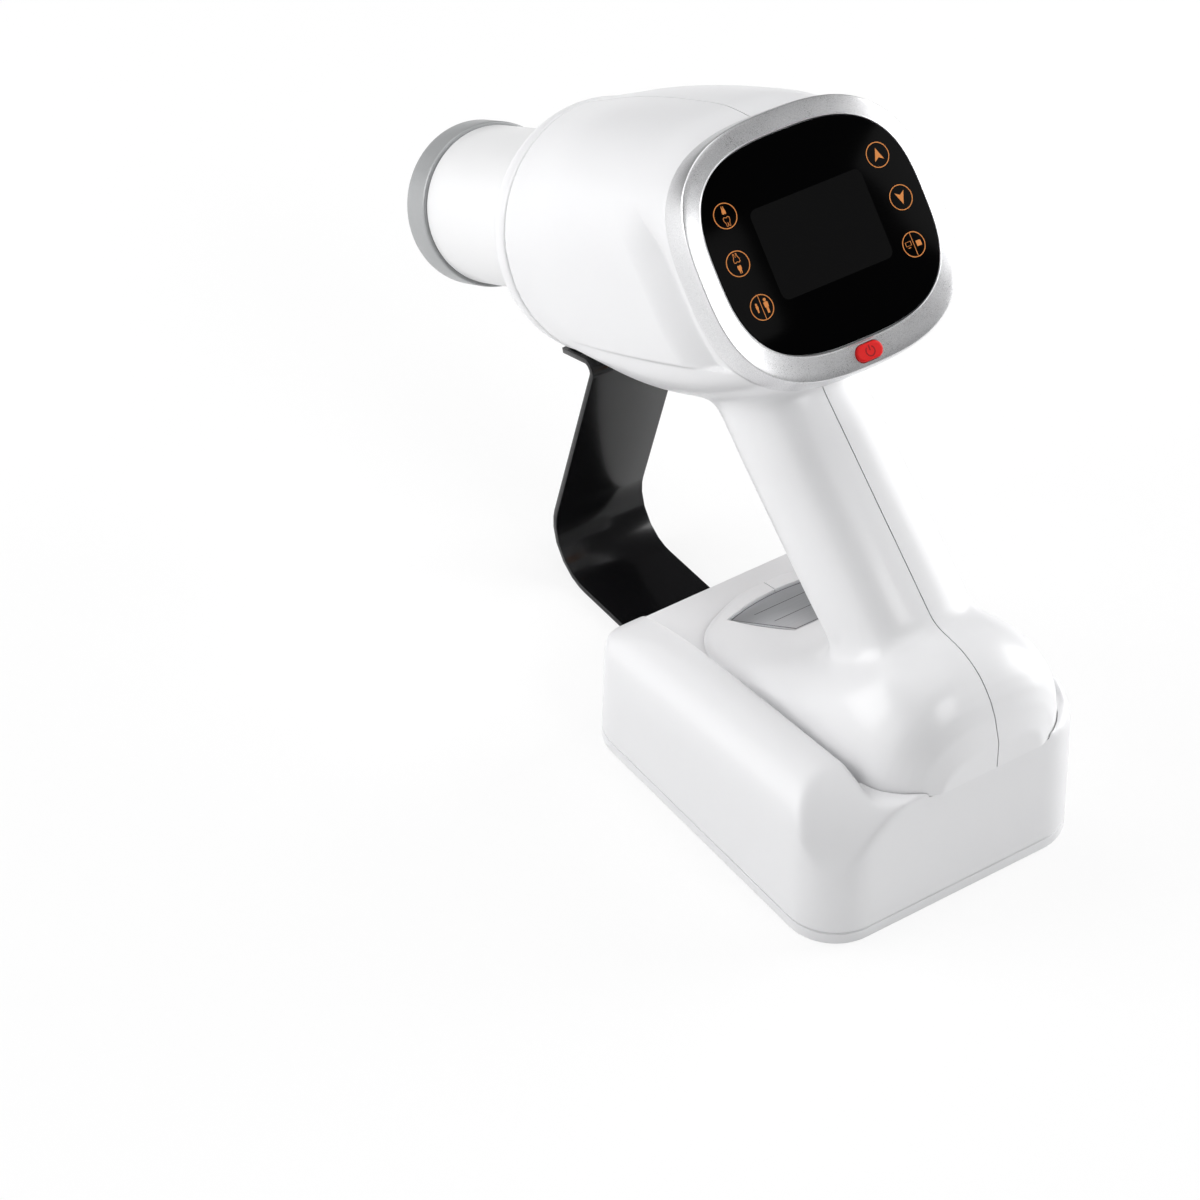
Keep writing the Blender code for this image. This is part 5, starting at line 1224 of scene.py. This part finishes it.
def shoulder_end(side, rounding, top, steps=20):
    """Everything but what a large rounding takes off the rear corner on one side of the tub."""
    edge = BASE_RIGHT if side > 0 else BASE_LEFT
    corner = (edge - BASE_CORNER + BASE_REAR - BASE_CORNER) / math.sqrt(2) + BASE_CORNER
    start = corner - rounding
    far = 3 * DECK_LENGTH
    outline = [(-far, -far), (-far, far), (start, far)]
    outline += arc(start, top - rounding, rounding, 90, -90, steps)
    outline.append((corner, -far))
    half = math.sqrt(0.5)
    place = Matrix(((side * half, 0, side * half, 0), (-half, 0, half, 0), (0, 1, 0, 0), (0, 0, 0, 1)))
    return flat("shoulder_end", outline, -far, far, place)


def channel_solid(clearance, rear=-FAR, lift=0):
    """Room above the deck for the foot."""
    return box("channel", (-CHANNEL_LEFT - clearance, rear, 0),
               (CHANNEL_RIGHT + clearance, FAR, DECK_LENGTH), deck_frame(lift))


def make_tub():
    low = PLATE_THICK + GAP
    tub = loft("tub", [plan(0, -low), plan(0, DECK_REAR_HEIGHT + 3 * RIM_HEIGHT)])
    cut(tub, rim_solid(), "INTERSECT")
    cut(tub, end_solid(), "INTERSECT")
    rear_top = deck_height(-BASE_REAR * SHOULDER_TOP_SHARE)
    cut(tub, shoulder_end(-1, LEFT_END_ROUNDING, rear_top + RIM_ARCH_SHARES[0][1] * RIM_HEIGHT), "INTERSECT")
    cut(tub, shoulder_end(1, RIGHT_END_ROUNDING, rear_top + RIM_HEIGHT_RIGHT), "INTERSECT")
    cut(tub, channel_solid(0, lift=DECK_SPARE))
    apply(tub, "REMESH", mode="VOXEL", voxel_size=SKIN_VOXEL * 1.1)
    apply(tub, "SMOOTH", factor=0.5, iterations=TUB_PASSES)
    cut(tub, below(Matrix.Translation((0, 0, low))))
    cut(tub, channel_solid(GAP, -DECK_LENGTH + RECUT_REACH))
    foot_room = foot_solid("foot_room", -GAP)
    cut(foot_room, below(deck_frame()))
    cut(tub, foot_room)
    room = loft("room", [plan(TUB_WALL, low - WALL, 6), plan(TUB_WALL, DECK_REAR_HEIGHT, 6)])
    cut(room, box("lid", (-FAR, -FAR, 0), (FAR, FAR, FAR), deck_frame(-2 * WALL)))
    cut(room, box("shoulder", (-FAR, -FAR, -SHOULDER_WALL_DROP), (-BASE_LEFT + SHOULDER_WALL_INSET, FAR, FAR),
                  deck_frame()))
    cut(tub, room)
    dress(tub, "base_tub_skin", BASE_WHITE, ["base_tub"])


def make_plate():
    edge = arc(PLATE_INSET + PLATE_EDGE, PLATE_EDGE, PLATE_EDGE, -90, -90, 5)
    rings = [plan(inset, height) for inset, height in edge]
    rings += [plan(PLATE_INSET, PLATE_THICK - SEAM * 2), plan(PLATE_INSET + SEAM * 2, PLATE_THICK - SEAM),
              plan(PLATE_INSET + SEAM * 2, PLATE_THICK)]
    plate = loft("plate", rings)
    half = STRAP_WIDTH / 2 + 2 * GAP
    cut(plate, box("lap", (STRAP_CENTRE - half, BASE_FRONT - LAP_LENGTH, -WALL),
                   (STRAP_CENTRE + half, BASE_FRONT + WALL, LAP_DEPTH)))
    for name, node in frame["nodes"].items():
        if name.startswith(("base_screw_", "rubber_foot_", "strap_end_screw_")):
            low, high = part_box(name)
            x = (low[0] + high[0]) / 2
            y = (low[1] + high[1]) / 2
            radius = (high[0] - low[0]) / 2 + 2 * GAP
            top = min(high[2] + 2 * GAP, PLATE_THICK + WALL)
            start = -WALL
            if name.startswith("strap"):
                radius = LAP_SCREW_RADIUS
                start = 0
            cut(plate, rod("hole", radius, (x, y, start), (x, y, top)))
    dress(plate, "base_plate_skin", BASE_WHITE, ["base_plate"])


# Stage, light and camera


def make_camera():
    tilt = Matrix.Rotation(math.pi / 2 - CAMERA_ELEVATION, 3, "X")
    rotation = Matrix.Rotation(CAMERA_AZIMUTH, 3, "Z") @ tilt
    location = (rotation @ Vector((-CAMERA_OFFSET.x, CAMERA_OFFSET.y, CAMERA_OFFSET.z))
                - Vector((0, REAR_SHIFT, 0)))
    data = bpy.data.cameras.new("camera")
    data.lens = CAMERA_LENS
    data.sensor_width = 36
    camera = linked("camera", data)
    camera.matrix_world = Matrix.Translation(location) @ rotation.to_4x4()
    bpy.context.scene.camera = camera


def make_lamps():
    for name, place, power, side in LAMPS:
        data = bpy.data.lights.new(name, "AREA")
        data.shape = "SQUARE"
        data.size = side
        data.energy = power
        obj = linked(name, data)
        obj.location = place
        obj.rotation_euler = (LAMP_AIM - Vector(place)).to_track_quat("-Z", "Y").to_euler()


def brighten_for_camera(tree, plain, bright, output, share):
    """Shows the camera a share of a bright shader, while the plain one lights the object."""
    rays = tree.nodes.new("ShaderNodeLightPath")
    factor = tree.nodes.new("ShaderNodeMath")
    factor.operation = "MULTIPLY"
    factor.inputs[1].default_value = share
    blend = tree.nodes.new("ShaderNodeMixShader")
    tree.links.new(rays.outputs["Is Camera Ray"], factor.inputs[0])
    tree.links.new(factor.outputs[0], blend.inputs[0])
    tree.links.new(plain.outputs[0], blend.inputs[1])
    tree.links.new(bright.outputs[0], blend.inputs[2])
    tree.links.new(blend.outputs[0], tree.nodes[output].inputs["Surface"])


def make_stage():
    bpy.ops.mesh.primitive_plane_add(size=30, location=(0, 0, 0))
    floor = bpy.context.object
    floor.name = "floor"
    shader = Shader("pale_floor", (0.93, 0.93, 0.93), 0.9, specular=0.0)
    grain = shader.noise(40.0, 2.0)
    shader.set("Base Color", shader.mix(grain, (0.92, 0.92, 0.92), (0.94, 0.94, 0.94)))
    tree = shader.tree
    glow = tree.nodes.new("ShaderNodeEmission")
    brighten_for_camera(tree, shader.surface, glow, "Material Output", 0.82)
    floor.data.materials.append(shader.material)

    world = bpy.data.worlds.new("studio")
    bpy.context.scene.world = world
    world.use_nodes = True
    tree = world.node_tree
    back = tree.nodes["Background"]
    back.inputs["Color"].default_value = (0.78, 0.785, 0.8, 1)
    back.inputs["Strength"].default_value = 0.16
    bright = tree.nodes.new("ShaderNodeBackground")
    bright.inputs["Color"].default_value = (1, 1, 1, 1)
    brighten_for_camera(tree, back, bright, "World Output", 1)
    bpy.context.scene.view_settings.view_transform = "Standard"


make_camera()
make_stage()
make_lamps()
finish_cad_nodes()
make_housing()
make_rating_plate()
make_collar()
make_cone()
make_bezel()
make_panel()
make_touch_marks()
make_power_button()
make_small_parts()
make_tub()
make_plate()
